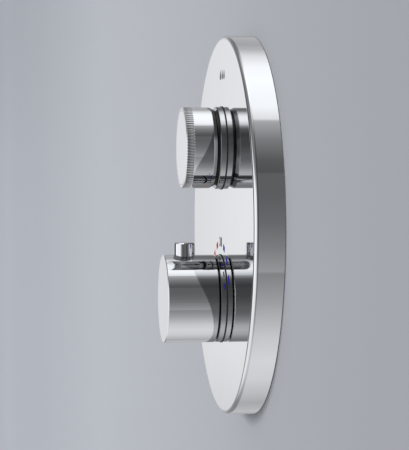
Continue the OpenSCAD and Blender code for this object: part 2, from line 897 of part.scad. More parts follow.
module flow_housing() {
    oring_z = (flow_waist_z + flow_waist_h + shoulder_z) / 2;
    color("ivory") at_flow() {
        difference() {
            union() {
                rod(flow_housing_r, flow_floor_z, shoulder_z);
                rod(flow_housing_neck_r, shoulder_z - overrun, flow_neck_top);
            }
            rod(flow_cavity_r, flow_floor_z - overrun, flow_cavity_top);
            rod(flow_spindle_r + running_fit, flow_floor_z, flow_neck_top + overrun);
            shaft_groove(flow_housing_r, flow_waist_r, flow_waist_z, flow_waist_z + flow_waist_h);
            windows(
                flow_windows, flow_window_w, flow_chamber_r,
                turning_disc_top - overrun, flow_cavity_top - driver_gap, -rest_angle
            );
            shaft_groove(
                flow_housing_r, flow_housing_r - oring_groove_depth,
                oring_z - oring_groove_w / 2, oring_z + oring_groove_w / 2
            );
        }
        intersection() {
            rod(flow_cavity_r + seat_fit, flow_floor_z, turning_disc_z);
            disc_keys(disc_key_r);
        }
    }
}

// Keys that stop the fixed disc and its seal from turning
module disc_keys(radius) {
    for (side = [-1, 1]) translate([0, side * disc_r, 0]) rod(radius, flow_floor_z, turning_disc_z);
}

module flow_orings() {
    oring_z = (flow_waist_z + flow_waist_h + shoulder_z) / 2;
    color("black") at_flow() oring(flow_housing_r - oring_groove_depth, oring_d, oring_z);
}

module flow_turning_disc() {
    color("white") at_flow() difference() {
        rod(turning_disc_r, turning_disc_z, turning_disc_top);
        translate([0, -outlet_hole_x, 0])
            rod(disc_hole_r, turning_disc_z - overrun, turning_disc_top + overrun);
        bar(
            driver_len + 2 * seat_fit, driver_w + 2 * seat_fit,
            turning_disc_top - driver_bite, turning_disc_top + overrun
        );
    }
}

// A disc with the two outlet holes and room for the housing's keys
module ported_disc(bottom, top) {
    difference() {
        rod(disc_r, bottom, top);
        for (side = [-1, 1])
            translate([side * outlet_hole_x, 0, 0]) rod(outlet_hole_r, bottom - overrun, top + overrun);
        disc_keys(disc_key_r + seat_fit);
    }
}

module flow_fixed_disc() {
    color("white") at_flow() ported_disc(fixed_disc_z, turning_disc_z);
}

module flow_seat_seal() {
    color("black") at_flow() ported_disc(flow_floor_z, fixed_disc_z);
}

// Temperature handle with its safety stop

// A stop on the stop ring that covers a range of angles
module stop_lug(inner_r, start) {
    ring_sector(
        stop_ring_r - stop_rim_t + seat_fit, inner_r, temperature_ring_z + stop_ring_h - seat_fit,
        temperature_ring_z + stop_ring_h + stop_rim_h, start, stop_lug_angle
    );
}

module temperature_stop_ring() {
    body_top = temperature_ring_z + stop_ring_h;
    tongue_edge = tongue_half_angle + stop_clear_angle;
    color("black") at_temperature() {
        tube(stop_ring_r, stop_ring_bore_r, temperature_ring_z, body_top);
        tube(
            temperature_sleeve_bore_r - seat_fit, stop_ring_bore_r,
            temperature_ring_z - stop_spigot_h, temperature_ring_z + seat_fit
        );
        tube(stop_ring_r, stop_ring_r - stop_rim_t, body_top - seat_fit, body_top + stop_rim_h);
        stop_lug(end_stop_r, rest_angle + hot_turn + tongue_edge);
        stop_lug(end_stop_r, rest_angle - cold_turn - tongue_edge - stop_lug_angle);
        stop_lug(safety_stop_r, rest_angle + tongue_edge);
    }
}

module temperature_handle() {
    roof_z = temperature_front_z - temperature_front_t;
    color("gainsboro") difference() {
        at_temperature() difference() {
            turned([
                [0, temperature_rear_z], [temperature_handle_r - ring_bevel, temperature_rear_z],
                [temperature_handle_r, temperature_rear_z + ring_bevel],
                [temperature_handle_r, temperature_front_z - ring_bevel],
                [temperature_handle_r - ring_bevel, temperature_front_z], [0, temperature_front_z]
            ]);
            difference() {
                rod(temperature_bore_r, temperature_rear_z - overrun, roof_z);
                rod(temperature_hub_r, adapter_z, roof_z + overrun);
            }
            rod(adapter_r + running_fit, temperature_rear_z, adapter_seat_z);
            translate([0, 0, grub_z]) rotate([90, 0, 0]) {
                rod(grub_r + running_fit, 0, temperature_hub_r + overrun);
                rod(grub_hole_r, temperature_hub_r + overrun, temperature_handle_r + overrun);
            }
        }
        at_button() {
            rod(button_r + seat_fit, button_flange_top - button_flange_t, button_top);
            turned([
                [0, temperature_handle_r - button_bore_bevel],
                [button_r + seat_fit, temperature_handle_r - button_bore_bevel],
                [button_r + 2 * button_bore_bevel, temperature_handle_r + seat_fit],
                [0, temperature_handle_r + seat_fit]
            ]);
        }
    }
}

module temperature_adapter() {
    color("goldenrod") at_temperature() difference() {
        rod(adapter_r, adapter_z, adapter_seat_z);
        splined_rod(
            thermostat_spindle_r, spline_depth, thermostat_spline_teeth,
            adapter_z - overrun, adapter_seat_z + overrun
        );
        translate([0, 0, grub_z]) rotate([90, 0, 0]) rod(grub_r + seat_fit, 0, temperature_hub_r);
    }
}

module temperature_grub_screw() {
    color("dimgray") at_temperature() translate([0, 0, grub_z]) rotate([90, 0, 0]) difference() {
        rod(grub_r, thermostat_spindle_r + loose_fit, grub_end_r);
        translate([0, 0, grub_end_r - socket_h]) cylinder(r = grub_hex_r, h = socket_h + overrun, $fn = 6);
    }
}

module button_carrier() {
    color("ivory") at_button() difference() {
        intersection() {
            bar(carrier_w, carrier_h, carrier_bottom, carrier_top);
            // The handle's bore, seen from the button
            rotate([90, 0, 0]) rod(temperature_bore_r - seat_fit, -carrier_h, carrier_h);
        }
        rotate([90, 0, 0]) rod(temperature_hub_r + seat_fit, -carrier_h, carrier_h);
        rod(carrier_bore_r, carrier_bottom + carrier_floor_t, carrier_top + overrun);
        translate([-tongue_w / 2 - tongue_play, 0, carrier_bottom + carrier_floor_t])
            cube([tongue_w + 2 * tongue_play, carrier_h, carrier_top]);
    }
}

module button_spring() {
    start = carrier_bottom + carrier_floor_t;
    color("silver") at_button() translate([0, 0, start]) spring(
        button_spring_r, button_spring_wire_d,
        button_post_bottom + button_post_bore_h - start, button_spring_turns
    );
}

module safety_button() {
    flange_bottom = button_flange_top - button_flange_t;
    color("gainsboro") at_button() difference() {
        union() {
            turned([
                [0, flange_bottom], [button_flange_r, flange_bottom],
                [button_flange_r, button_flange_top], [button_r, button_flange_top],
                [button_r, button_top - button_bevel], [button_r - button_bevel, button_top],
                [0, button_top]
            ]);
            rod(button_post_r, button_post_bottom, flange_bottom + seat_fit);
            translate([-tongue_w / 2, 0, button_post_bottom])
                cube([tongue_w, tongue_reach, tongue_h]);
        }
        rod(button_post_bore_r, button_post_bottom - overrun, button_post_bottom + button_post_bore_h);
    }
}

// Thermostat cartridge

module thermostat_spindle() {
    spindle_top = adapter_seat_z - spindle_gap;
    color("goldenrod") at_temperature() difference() {
        union() {
            rod(cup_r, cup_z, cup_top);
            rod(thermostat_spindle_r, cup_top - overrun, adapter_z);
            splined_rod(
                thermostat_spindle_r - running_fit, spline_depth, thermostat_spline_teeth,
                adapter_z - overrun, spindle_top
            );
        }
        rod(cup_bore_r, cup_z - overrun, cup_top - cup_roof_t);
        shaft_groove(
            thermostat_spindle_r, thermostat_spindle_r - spindle_oring_d,
            spindle_oring_z - spindle_groove_w / 2, spindle_oring_z + spindle_groove_w / 2
        );
        shaft_groove(
            thermostat_spindle_r, thermostat_spindle_r - circlip_groove_depth,
            thermostat_neck_top + circlip_gap, thermostat_neck_top + circlip_gap + circlip_t
        );
    }
}

module thermostat_spindle_oring() {
    color("black") at_temperature()
        oring(thermostat_spindle_r - spindle_oring_d, spindle_oring_d, spindle_oring_z);
}

module thermostat_circlip() {
    color("silver") at_temperature()
        circlip(thermostat_spindle_r - circlip_groove_depth, thermostat_neck_top + circlip_gap);
}

module thermostat_nut() {
    color("goldenrod") at_temperature() cartridge_nut(
        temperature_chamber_r - seat_fit, thermostat_neck_r + seat_fit, temperature_lip_r - running_fit
    );
}

// Heights of the sealing rings between the water zones and in front of them
zone_seals = [
    (hot_zone_z + cold_zone_z + zone_h) / 2,
    (cold_zone_z + mixed_zone_z + zone_h) / 2,
    (mixed_zone_z + zone_h + shoulder_z) / 2
];

module thermostat_housing() {
    color("ivory") at_temperature() {
        difference() {
            union() {
                rod(thermostat_housing_r, thermostat_back_z, shoulder_z);
                rod(thermostat_neck_r, shoulder_z - overrun, thermostat_neck_top);
            }
            rod(thermostat_cavity_r, thermostat_cavity_z, thermostat_cavity_top);
            rod(cup_r + running_fit, thermostat_cavity_z, cup_top + spindle_gap);
            rod(thermostat_spindle_r + running_fit, cup_top, thermostat_neck_top + overrun);
            for (zone = [hot_zone_z, cold_zone_z, mixed_zone_z]) {
                shaft_groove(thermostat_housing_r, waist_r, zone, zone + zone_h);
                windows(
                    thermostat_windows, thermostat_window_w, temperature_chamber_r,
                    zone + window_lift, zone + window_lift + window_h, rest_angle / 2
                );
            }
            for (height = zone_seals)
                shaft_groove(
                    thermostat_housing_r, thermostat_housing_r - oring_groove_depth,
                    height - oring_groove_w / 2, height + oring_groove_w / 2
                );
        }
        intersection() {
            rod(thermostat_cavity_r + seat_fit, thermostat_cavity_z, shoulder_z);
            for (side = [-1, 1], edge = [-1, 1])
                translate([
                    side * (thermostat_cavity_r - guide_rib_w / 2),
                    edge * (plunger_lug_w + 2 * guide_play + guide_rib_t) / 2, 0
                ])
                    bar(
                        guide_rib_w + seat_fit, guide_rib_t,
                        thermostat_cavity_top - guide_rib_h, thermostat_cavity_top + seat_fit
                    );
        }
    }
}

module thermostat_orings() {
    color("black") at_temperature() for (height = zone_seals)
        oring(thermostat_housing_r - oring_groove_depth, oring_d, height);
}

module thermostat_filters() {
    color("silver") at_temperature() for (zone = [hot_zone_z, cold_zone_z]) difference() {
        tube(filter_r, filter_r - filter_t, zone + seat_fit, zone + zone_h - seat_fit);
        windows(
            filter_slots, filter_slot_w, temperature_chamber_r,
            zone + filter_edge, zone + zone_h - filter_edge, 0
        );
    }
}

module thermostat_plunger() {
    color("goldenrod") at_temperature() difference() {
        union() {
            rod(plunger_r, plunger_z, plunger_z + plunger_len);
            bar(2 * plunger_lug_reach, plunger_lug_w, plunger_z, plunger_z + plunger_lug_h);
        }
        rod(plunger_bore_r, plunger_z - overrun, plunger_z + plunger_bore_len);
    }
}

module overload_spring() {
    color("silver") at_temperature() translate([0, 0, element_head_top]) spring(
        overload_spring_r, overload_spring_wire_d,
        plunger_z + plunger_bore_len - element_head_top, overload_spring_turns
    );
}

module wax_element() {
    color("peru") at_temperature() {
        rod(element_r, element_z, element_seat_z + seat_fit);
        rod(element_flange_r, element_seat_z, element_neck_z);
        rod(element_neck_r, element_neck_z - seat_fit, element_pin_z);
        rod(element_pin_r, element_pin_z - seat_fit, element_head_top);
        rod(element_head_r, element_head_top - element_head_t, element_head_top);
    }
}

module regulating_slide() {
    color("white") at_temperature() difference() {
        union() {
            tube(slide_r, slide_bore_r, slide_z, slide_z + slide_len);
            rod(slide_bore_r + seat_fit, slide_web_z, slide_web_z + slide_web_t);
            rod(slide_hub_r, slide_web_z, element_seat_z);
        }
        rod(element_r + running_fit, slide_web_z - overrun, element_seat_z + overrun);
        around(slide_holes) translate([slide_hole_at, 0, 0])
            rod(slide_hole_r, slide_web_z - overrun, slide_web_z + slide_web_t + overrun);
    }
}

module return_spring() {
    color("silver") at_temperature() translate([0, 0, thermostat_cavity_z]) spring(
        return_spring_r, return_spring_wire_d, slide_web_z - thermostat_cavity_z, return_spring_turns
    );
}

// Body with its arms

module arm_solid(height) {
    for (side = [-1, 1]) at_arm(height, side) rod(arm_r, 0, arm_end);
}

module arm_bores(height, throat_start) {
    for (side = [-1, 1]) at_arm(height, side) {
        rod(arm_bore_r, arm_end - arm_bore_len, arm_end + overrun);
        rod(arm_throat_r, throat_start, arm_end);
    }
}

module at_bosses() {
    valve_frame() for (side = [-1, 1], row = [-1, 1])
        translate([side * boss_x, handles_raised + row * boss_y, 0]) children();
}

module valve_body() {
    color("goldenrod") difference() {
        union() {
            at_flow() {
                rod(flow_barrel_r, flow_barrel_back_z, barrel_z);
                rod(flow_neck_r, barrel_z - overrun, neck_z);
            }
            at_temperature() {
                rod(temperature_barrel_r, body_back_z, barrel_z);
                rod(temperature_neck_r, barrel_z - overrun, neck_z);
                for (side = [-1, 1]) translate([side * stop_x, 0, 0])
                    rod(stop_barrel_r, arm_z - arm_r, stop_front_z);
            }
            arm_solid(flow_y);
            arm_solid(temperature_y);
            valve_frame() translate([0, handles_raised, 0]) {
                bar(bridge_w, bridge_h, bridge_back_z, barrel_z);
                bar(foot_w, foot_h, bridge_back_z, foot_front_z);
            }
            at_bosses() rod(boss_r, body_back_z, foot_front_z);
        }
        at_flow() {
            rod(flow_chamber_r, flow_floor_z, neck_z + overrun);
            for (side = [-1, 1]) translate([side * outlet_hole_x, 0, 0])
                rod(outlet_hole_r, arm_z, flow_floor_z + overrun);
        }
        at_temperature() {
            rod(temperature_chamber_r, chamber_floor_z, neck_z + overrun);
            for (side = [-1, 1]) translate([side * stop_x, 0, 0])
                rod(stop_bore_r, stop_floor_z, stop_front_z + overrun);
            passage([-stop_x, 0, arm_z], [-waist_r, 0, hot_zone_z + zone_h / 2], gallery_r);
            passage([stop_x, 0, arm_z], [waist_r, 0, cold_zone_z + zone_h / 2], gallery_r);
        }
        arm_bores(flow_y, outlet_hole_x);
        arm_bores(temperature_y, stop_x);
        valve_frame() passage(
            [0, temperature_y + waist_r, mixed_z], [0, flow_y - flow_waist_r, mixed_z], mixed_r
        );
        at_bosses() rod(boss_screw_r, body_back_z - overrun, body_back_z + boss_screw_h);
    }
}

// A union that grips the end of an arm and ends in a threaded water port
module port_union(height, side) {
    color("goldenrod") at_arm(height, side) difference() {
        union() {
            translate([0, 0, arm_end - port_grip]) cylinder(r = port_hex_r, h = port_grip, $fn = 6);
            rod(port_r, arm_end - overrun, port_reach);
        }
        rod(arm_r + running_fit, arm_end - port_grip - overrun, arm_end + port_seal_t);
        rod(port_wall_bore_r, arm_end, port_reach);
        rod(port_bore_r, port_reach - port_bore_len, port_reach + overrun);
    }
}

module hot_inlet() {
    port_union(temperature_y, -1);
}

module cold_inlet() {
    port_union(temperature_y, 1);
}

module shower_outlet() {
    port_union(flow_y, -1);
}

module bath_outlet() {
    port_union(flow_y, 1);
}

module port_seals() {
    color("maroon") for (height = [flow_y, temperature_y], side = [-1, 1]) at_arm(height, side)
        tube(arm_r - seat_fit, arm_r - seat_fit - port_seal_w, arm_end, arm_end + port_seal_t);
}

// A disc with rings of small holes
module strainer(side) {
    start = arm_end + port_seal_t + seat_fit;
    color("silver") at_arm(temperature_y, side) difference() {
        rod(strainer_r, start, start + strainer_t);
        rod(strainer_hole_r, start - overrun, start + strainer_t + overrun);
        for (row = [1 : strainer_rings]) around(6 * row) translate([row * strainer_pitch, 0, 0])
            rod(strainer_hole_r, start - overrun, start + strainer_t + overrun);
    }
}

module hot_strainer() {
    strainer(-1);
}

module cold_strainer() {
    strainer(1);
}

module check_cage(side) {
    finish = check_start + check_len;
    color("ivory") at_arm(temperature_y, side) difference() {
        union() {
            tube(check_r, check_r - check_wall_t, check_start, finish);
            rod(check_r - check_wall_t + seat_fit, check_start, check_start + check_web_t);
            rod(check_hub_r, check_start, check_start + check_hub_h);
            tube(check_r - check_wall_t + seat_fit, check_seat_r, finish - check_seat_t, finish);
        }
        rod(poppet_stem_r + seat_fit, check_start - overrun, check_start + check_hub_h + overrun);
        around(6) translate([check_web_hole_at, 0, 0])
            rod(check_web_hole_r, check_start - overrun, check_start + check_web_t + overrun);
    }
}

module hot_check_cage() {
    check_cage(-1);
}

module cold_check_cage() {
    check_cage(1);
}

function poppet_face() = check_start + check_len - check_seat_t - seat_fit;

module check_poppet(side) {
    back = poppet_face() - poppet_t;
    color("firebrick") at_arm(temperature_y, side) turned([
        [0, back - poppet_stem_len], [poppet_stem_r, back - poppet_stem_len],
        [poppet_stem_r, back], [poppet_r, back], [poppet_r, poppet_face()],
        [poppet_dome_r, poppet_face()], [0, poppet_face() + poppet_dome_h]
    ]);
}

module hot_check_poppet() {
    check_poppet(-1);
}

module cold_check_poppet() {
    check_poppet(1);
}

module check_spring(side) {
    start = check_start + check_web_t;
    color("silver") at_arm(temperature_y, side) translate([0, 0, start]) spring(
        check_spring_r, check_spring_wire_d, poppet_face() - poppet_t - start, check_spring_turns
    );
}

module hot_check_spring() {
    check_spring(-1);
}

module cold_check_spring() {
    check_spring(1);
}

// A quarter-turn plug with a cross hole that lets the water of one arm through
module stop_plug(side) {
    bottom = stop_floor_z + stop_plug_play;
    top = stop_front_z - retainer_t - 2 * stop_plug_play;
    color("silver") at_temperature() translate([side * stop_x, 0, 0]) difference() {
        rod(stop_bore_r - running_fit, bottom, top);
        translate([0, 0, arm_z]) rotate([0, 90, 0]) rod(stop_hole_r, -stop_barrel_r, stop_barrel_r);
        bar(2 * stop_barrel_r, stop_slot_w, top - stop_slot_h, top + overrun);
    }
}

module hot_stop_plug() {
    stop_plug(-1);
}

module cold_stop_plug() {
    stop_plug(1);
}

module stop_retainers() {
    color("goldenrod") at_temperature() for (side = [-1, 1]) translate([side * stop_x, 0, 0])
        tube(
            stop_bore_r - running_fit, retainer_bore_r,
            stop_front_z - retainer_t - stop_plug_play, stop_front_z - stop_plug_play
        );
}

module mounting_bracket() {
    width = bracket_hole_w + 2 * bracket_margin;
    height = bracket_hole_h + 2 * bracket_margin;
    color("silver") difference() {
        valve_frame() translate([0, handles_raised, body_back_z - bracket_t]) linear_extrude(bracket_t) {
            square([width - 2 * bracket_corner_r, height], center = true);
            square([width, height - 2 * bracket_corner_r], center = true);
            for (side = [-1, 1], row = [-1, 1])
                translate([side * (width / 2 - bracket_corner_r), row * (height / 2 - bracket_corner_r)])
                    circle(bracket_corner_r);
        }
        valve_frame() for (side = [-1, 1], row = [-1, 1])
            translate([side * bracket_hole_w / 2, handles_raised + row * bracket_hole_h / 2, 0])
                rod(bracket_hole_d / 2, body_back_z - bracket_t - overrun, body_back_z + overrun);
        at_bosses()
            rod(bracket_screw_clear_r, body_back_z - bracket_t - overrun, body_back_z + overrun);
    }
}

module bracket_screws() {
    seat = body_back_z - bracket_t;
    color("silver") at_bosses() difference() {
        union() {
            rod(bracket_screw_head_r, seat - bracket_screw_head_h, seat);
            rod(bracket_screw_r, seat - seat_fit, body_back_z + boss_screw_h - overrun);
        }
        translate([0, 0, seat - bracket_screw_head_h - overrun])
            cylinder(r = socket_r, h = socket_h, $fn = 6);
    }
}

escutcheon();
escutcheon_seal();
sleeve_washers();
flow_sleeve();
ring_seals();
flow_base_ring();
flow_limit_ring();
flow_handle();
flow_cap();
flow_adapter();
flow_screw();
flow_spindle();
flow_spindle_oring();
flow_circlip();
flow_nut();
flow_housing();
flow_orings();
flow_turning_disc();
flow_fixed_disc();
flow_seat_seal();
temperature_sleeve();
temperature_base_ring();
temperature_stop_ring();
temperature_handle();
temperature_adapter();
temperature_grub_screw();
button_carrier();
button_spring();
safety_button();
thermostat_spindle();
thermostat_spindle_oring();
thermostat_circlip();
thermostat_nut();
thermostat_housing();
thermostat_orings();
thermostat_filters();
thermostat_plunger();
overload_spring();
wax_element();
regulating_slide();
return_spring();
valve_body();
hot_inlet();
cold_inlet();
shower_outlet();
bath_outlet();
port_seals();
hot_strainer();
cold_strainer();
hot_check_cage();
cold_check_cage();
hot_check_poppet();
cold_check_poppet();
hot_check_spring();
cold_check_spring();
hot_stop_plug();
cold_stop_plug();
stop_retainers();
mounting_bracket();
bracket_screws();
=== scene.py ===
import math

import bpy
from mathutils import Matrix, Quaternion, Vector
from mathutils.geometry import delaunay_2d_cdt


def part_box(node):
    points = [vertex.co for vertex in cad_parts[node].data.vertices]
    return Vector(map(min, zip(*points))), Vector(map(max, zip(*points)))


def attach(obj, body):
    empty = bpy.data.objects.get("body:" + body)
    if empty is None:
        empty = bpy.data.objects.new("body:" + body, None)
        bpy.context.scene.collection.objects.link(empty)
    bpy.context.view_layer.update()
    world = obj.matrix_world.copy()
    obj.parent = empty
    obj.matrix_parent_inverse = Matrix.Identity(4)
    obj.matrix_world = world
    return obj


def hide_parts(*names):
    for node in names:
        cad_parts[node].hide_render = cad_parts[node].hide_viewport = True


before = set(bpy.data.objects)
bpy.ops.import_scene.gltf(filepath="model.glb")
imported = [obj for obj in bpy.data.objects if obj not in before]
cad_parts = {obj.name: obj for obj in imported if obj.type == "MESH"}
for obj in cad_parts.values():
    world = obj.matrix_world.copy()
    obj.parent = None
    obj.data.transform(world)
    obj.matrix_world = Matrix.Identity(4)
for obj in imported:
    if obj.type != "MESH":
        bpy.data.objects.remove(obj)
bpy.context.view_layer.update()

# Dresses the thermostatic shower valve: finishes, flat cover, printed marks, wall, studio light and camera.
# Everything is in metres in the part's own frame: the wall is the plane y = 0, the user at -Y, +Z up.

MM = 0.001

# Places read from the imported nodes
PLATE_LOW, PLATE_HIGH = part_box("escutcheon")
RING_LOW, RING_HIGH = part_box("temperature_base_ring")
CAP_LOW, CAP_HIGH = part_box("flow_cap")
GRIP_LOW, GRIP_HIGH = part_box("flow_handle")
PLATE_FRONT = PLATE_LOW.y
TEMPERATURE_Z = (RING_LOW.z + RING_HIGH.z) / 2
FLOW_Z = (CAP_LOW.z + CAP_HIGH.z) / 2
GRIP_FRONT = GRIP_LOW.y
GRIP_R = (GRIP_HIGH.z - GRIP_LOW.z) / 2


# Material nodes

def new_material(name):
    """An empty node material and its tree."""
    material = bpy.data.materials.new(name)
    material.use_nodes = True
    material.node_tree.nodes.clear()
    return material, material.node_tree


def input_of(node, key):
    """A node's input by its name, with _ for a space, or by its number as i0, i1 and so on."""
    if key[0] == "i" and key[1:].isdigit():
        return node.inputs[int(key[1:])]
    return node.inputs[key.replace("_", " ")]


def add_node(tree, kind, settings=None, **inputs):
    """A node with its settings made and its inputs set; an input given as a socket is linked."""
    node = tree.nodes.new(kind)
    for key, value in (settings or {}).items():
        setattr(node, key, value)
    for key, value in inputs.items():
        place = input_of(node, key)
        if isinstance(value, bpy.types.NodeSocket):
            tree.links.new(value, place)
        else:
            place.default_value = value
    return node


def maths(tree, operation, first, second=0.0, third=0.0):
    """The result of one Math node."""
    node = add_node(tree, "ShaderNodeMath", {"operation": operation}, i0=first, i1=second, i2=third)
    return node.outputs[0]


def grey(tone):
    """An opaque grey."""
    return (tone, tone, tone, 1.0)


def tinted(tone, tint):
    """A tone as a colour, from the tint's red, green and blue."""
    return tuple(tone * share for share in tint)


def ramp(tree, factor, stops):
    """A colour ramp over (place, value) stops; a value is a grey or a colour."""
    node = add_node(tree, "ShaderNodeValToRGB", None, Fac=factor)
    band = node.color_ramp
    while len(band.elements) < len(stops):
        band.elements.new(1.0)
    for element, (place, value) in zip(band.elements, stops):
        element.position = place
        element.color = (*value, 1.0) if isinstance(value, tuple) else grey(value)
    return node.outputs["Color"]


def object_place(tree):
    """Object coordinates: the part's own frame, in metres."""
    return add_node(tree, "ShaderNodeTexCoord").outputs["Object"]


def axes(tree, place):
    """The X, Y and Z of a place."""
    return add_node(tree, "ShaderNodeSeparateXYZ", None, Vector=place).outputs


def noise(tree, place, scale, detail=3.0, stretch=None):
    """A noise value from 0 to 1, stretched along chosen axes."""
    if stretch:
        place = add_node(tree, "ShaderNodeMapping", None, Vector=place, Scale=stretch).outputs["Vector"]
    node = add_node(tree, "ShaderNodeTexNoise", None, Vector=place, Scale=scale, Detail=detail)
    return node.outputs["Fac"]


def voronoi(tree, place, scale):
    """The distance to the middle of the nearest cell."""
    return add_node(tree, "ShaderNodeTexVoronoi", None, Vector=place, Scale=scale).outputs["Distance"]


def between(tree, factor, low, high):
    """A number that goes from low to high while the factor goes from 0 to 1."""
    node = add_node(tree, "ShaderNodeMapRange", None, Value=factor, To_Min=low, To_Max=high)
    return node.outputs["Result"]


def rising(tree, value, low, high):
    """A number that goes evenly from 0 to 1 while the value goes from low to high."""
    node = add_node(tree, "ShaderNodeMapRange", None, Value=value, From_Min=low, From_Max=high)
    return node.outputs["Result"]


def mix(tree, kind, factor, first, second):
    """Two colours mixed in one of the Mix node's ways."""
    settings = {"data_type": "RGBA", "blend_type": kind}
    return add_node(tree, "ShaderNodeMix", settings, i0=factor, i6=first, i7=second).outputs[2]


def blend(tree, factor, first, second):
    """One colour going over into another."""
    return mix(tree, "MIX", factor, first, second)


def bump(tree, height, strength, distance):
    """A normal pushed about by a height."""
    node = add_node(tree, "ShaderNodeBump", None, Height=height, Strength=strength, Distance=distance)
    return node.outputs["Normal"]


def shade(tree, **inputs):
    """The Principled shader joined to the output."""
    shader = add_node(tree, "ShaderNodeBsdfPrincipled", None, **inputs)
    add_node(tree, "ShaderNodeOutputMaterial", None, Surface=shader.outputs["BSDF"])


# Chrome finishes

# Chrome's tone, from the haziest places to the clearest
CHROME_TONES = [(0.3, (0.592, 0.600, 0.612)), (0.7, (0.608, 0.616, 0.626))]

# The flow handle's colour is darkened in its grooves, on its rear bevel and in its bore: painted shade for
# the gap and the grooves
GROOVE_DEPTH = 1.25 * MM
SHADE_LENGTH = 10 * MM
# How much of the painted shade shows, from the handle's front backwards over the shade length
SHADE_REACH = [(0.0, 0.0), (0.045, 0.0), (0.07, 1.0), (0.14, 0.9), (0.26, 0.45), (0.42, 0.2), (0.5, 1.0)]
# The painted shade's tone, from the handle's surface inwards over the groove depth
SHADE_TONES = [
    (0.0, (0.60, 0.608, 0.62)), (0.03, (0.60, 0.608, 0.62)), (0.10, (0.26, 0.263, 0.27)),
    (0.35, (0.22, 0.223, 0.23)), (0.66, (0.20, 0.203, 0.21)), (0.8, (0.012, 0.012, 0.013)),
    (1.0, (0.01, 0.01, 0.01)),
]

# The fixed rings' small front bevel is darkened: painted shade for the gap behind each handle
RING_BEVEL_BACK, RING_BEVEL_FRONT = 0.5 * MM, 0.35 * MM
RING_BEVEL_SHADE = (0.11, 0.112, 0.115, 1.0)


def chrome_tone(tree, place):
    """Chrome's colour, with a trace of haze left by polishing."""
    return ramp(tree, noise(tree, place, scale=40.0), CHROME_TONES)


def shade_chrome(tree, place, colour):
    """The shader of polished chrome plating: almost a mirror, very slightly uneven."""
    polish = noise(tree, place, scale=160.0, detail=5.0)
    shade(tree, Base_Color=colour, Metallic=1.0, Roughness=between(tree, polish, 0.025, 0.045))


def flow_radius(tree, part):
    """The distance from the flow handle's axis."""
    up = maths(tree, "SUBTRACT", part["Z"], FLOW_Z)
    square = maths(tree, "MULTIPLY_ADD", part["X"], part["X"], maths(tree, "MULTIPLY", up, up))
    return maths(tree, "SQRT", square)


def chrome():
    """Polished chrome plating."""
    material, tree = new_material("chrome")
    place = object_place(tree)
    shade_chrome(tree, place, chrome_tone(tree, place))
    return material


def shaded_recess_chrome():
    """The same chrome on the flow handle, with painted shade darkening its grooves, its rear bevel and its
    bore.
    """
    material, tree = new_material("shaded_recess_chrome")
    place = object_place(tree)
    part = axes(tree, place)
    inwards = rising(tree, maths(tree, "SUBTRACT", GRIP_R, flow_radius(tree, part)), 0.0, GROOVE_DEPTH)
    backwards = rising(tree, part["Y"], GRIP_FRONT, GRIP_FRONT + SHADE_LENGTH)
    reach = ramp(tree, backwards, SHADE_REACH)
    # Painted shade: the colour darkens inwards into the grooves and the bore, and on the rear bevel
    painted_shade = ramp(tree, inwards, SHADE_TONES)
    shade_chrome(tree, place, blend(tree, reach, chrome_tone(tree, place), painted_shade))
    return material


def ring_chrome(name, node):
    """The same chrome on a fixed ring, with painted shade on the bevel that faces the gap behind its handle.
    """
    material, tree = new_material(name)
    place = object_place(tree)
    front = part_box(node)[0].y
    # Painted shade on the front bevel, next to the gap behind the handle
    bevel = rising(tree, axes(tree, place)["Y"], front + RING_BEVEL_BACK, front + RING_BEVEL_FRONT)
    shade_chrome(tree, place, blend(tree, bevel, chrome_tone(tree, place), RING_BEVEL_SHADE))
    return material


def satin():
    """Chrome under a satin front, turned in fine rings about the flow handle's axis."""
    material, tree = new_material("satin_face")
    radius = flow_radius(tree, axes(tree, object_place(tree)))
    along = add_node(tree, "ShaderNodeCombineXYZ", None, X=radius).outputs[0]
    rings = noise(tree, along, scale=9000.0, detail=2.0)
    shade(
        tree,
        Base_Color=ramp(tree, rings, [(0.3, (0.60, 0.61, 0.62)), (0.7, (0.65, 0.66, 0.67))]),
        Metallic=1.0,
        Roughness=between(tree, rings, 0.10, 0.16),
        Normal=bump(tree, rings, strength=0.05, distance=0.02 * MM),
    )
    return material


# Other finishes

def turned_metal(name, dark, light, rough):
    """A machined metal: fine tool marks and a slight change of tone."""
    material, tree = new_material(name)
    place = object_place(tree)
    cloud = noise(tree, place, scale=90.0, detail=4.0)
    marks = noise(tree, place, scale=700.0, detail=2.0, stretch=(1.0, 6.0, 1.0))
    shade(
        tree,
        Base_Color=ramp(tree, cloud, [(0.3, dark), (0.7, light)]),
        Metallic=1.0,
        Roughness=between(tree, cloud, rough * 0.8, rough * 1.25),
        Normal=bump(tree, marks, strength=0.12, distance=0.05 * MM),
    )
    return material


def cast_brass():
    """Sand-cast brass, shot-blasted: a fine grainy skin with warmer and duller patches."""
    material, tree = new_material("cast_brass")
    place = object_place(tree)
    patches = noise(tree, place, scale=28.0, detail=4.0)
    grain = noise(tree, place, scale=900.0, detail=4.0)
    tones = [(0.25, (0.36, 0.24, 0.085)), (0.55, (0.55, 0.39, 0.16)), (0.8, (0.62, 0.47, 0.22))]
    shade(
        tree,
        Base_Color=ramp(tree, patches, tones),
        Metallic=1.0,
        Roughness=between(tree, grain, 0.38, 0.52),
        Normal=bump(tree, grain, strength=0.35, distance=0.25 * MM),
    )
    return material


def zinc_sheet():
    """Zinc-plated sheet steel: cool, faintly spangled, softly brushed along its length."""
    material, tree = new_material("zinc_sheet")
    place = object_place(tree)
    spangle = voronoi(tree, place, scale=220.0)
    brushed = noise(tree, place, scale=260.0, stretch=(12.0, 1.0, 1.0))
    shade(
        tree,
        Base_Color=ramp(tree, spangle, [(0.0, (0.50, 0.53, 0.56)), (0.9, (0.62, 0.64, 0.66))]),
        Metallic=1.0,
        Roughness=between(tree, brushed, 0.26, 0.4),
        Normal=bump(tree, brushed, strength=0.08, distance=0.04 * MM),
    )
    return material


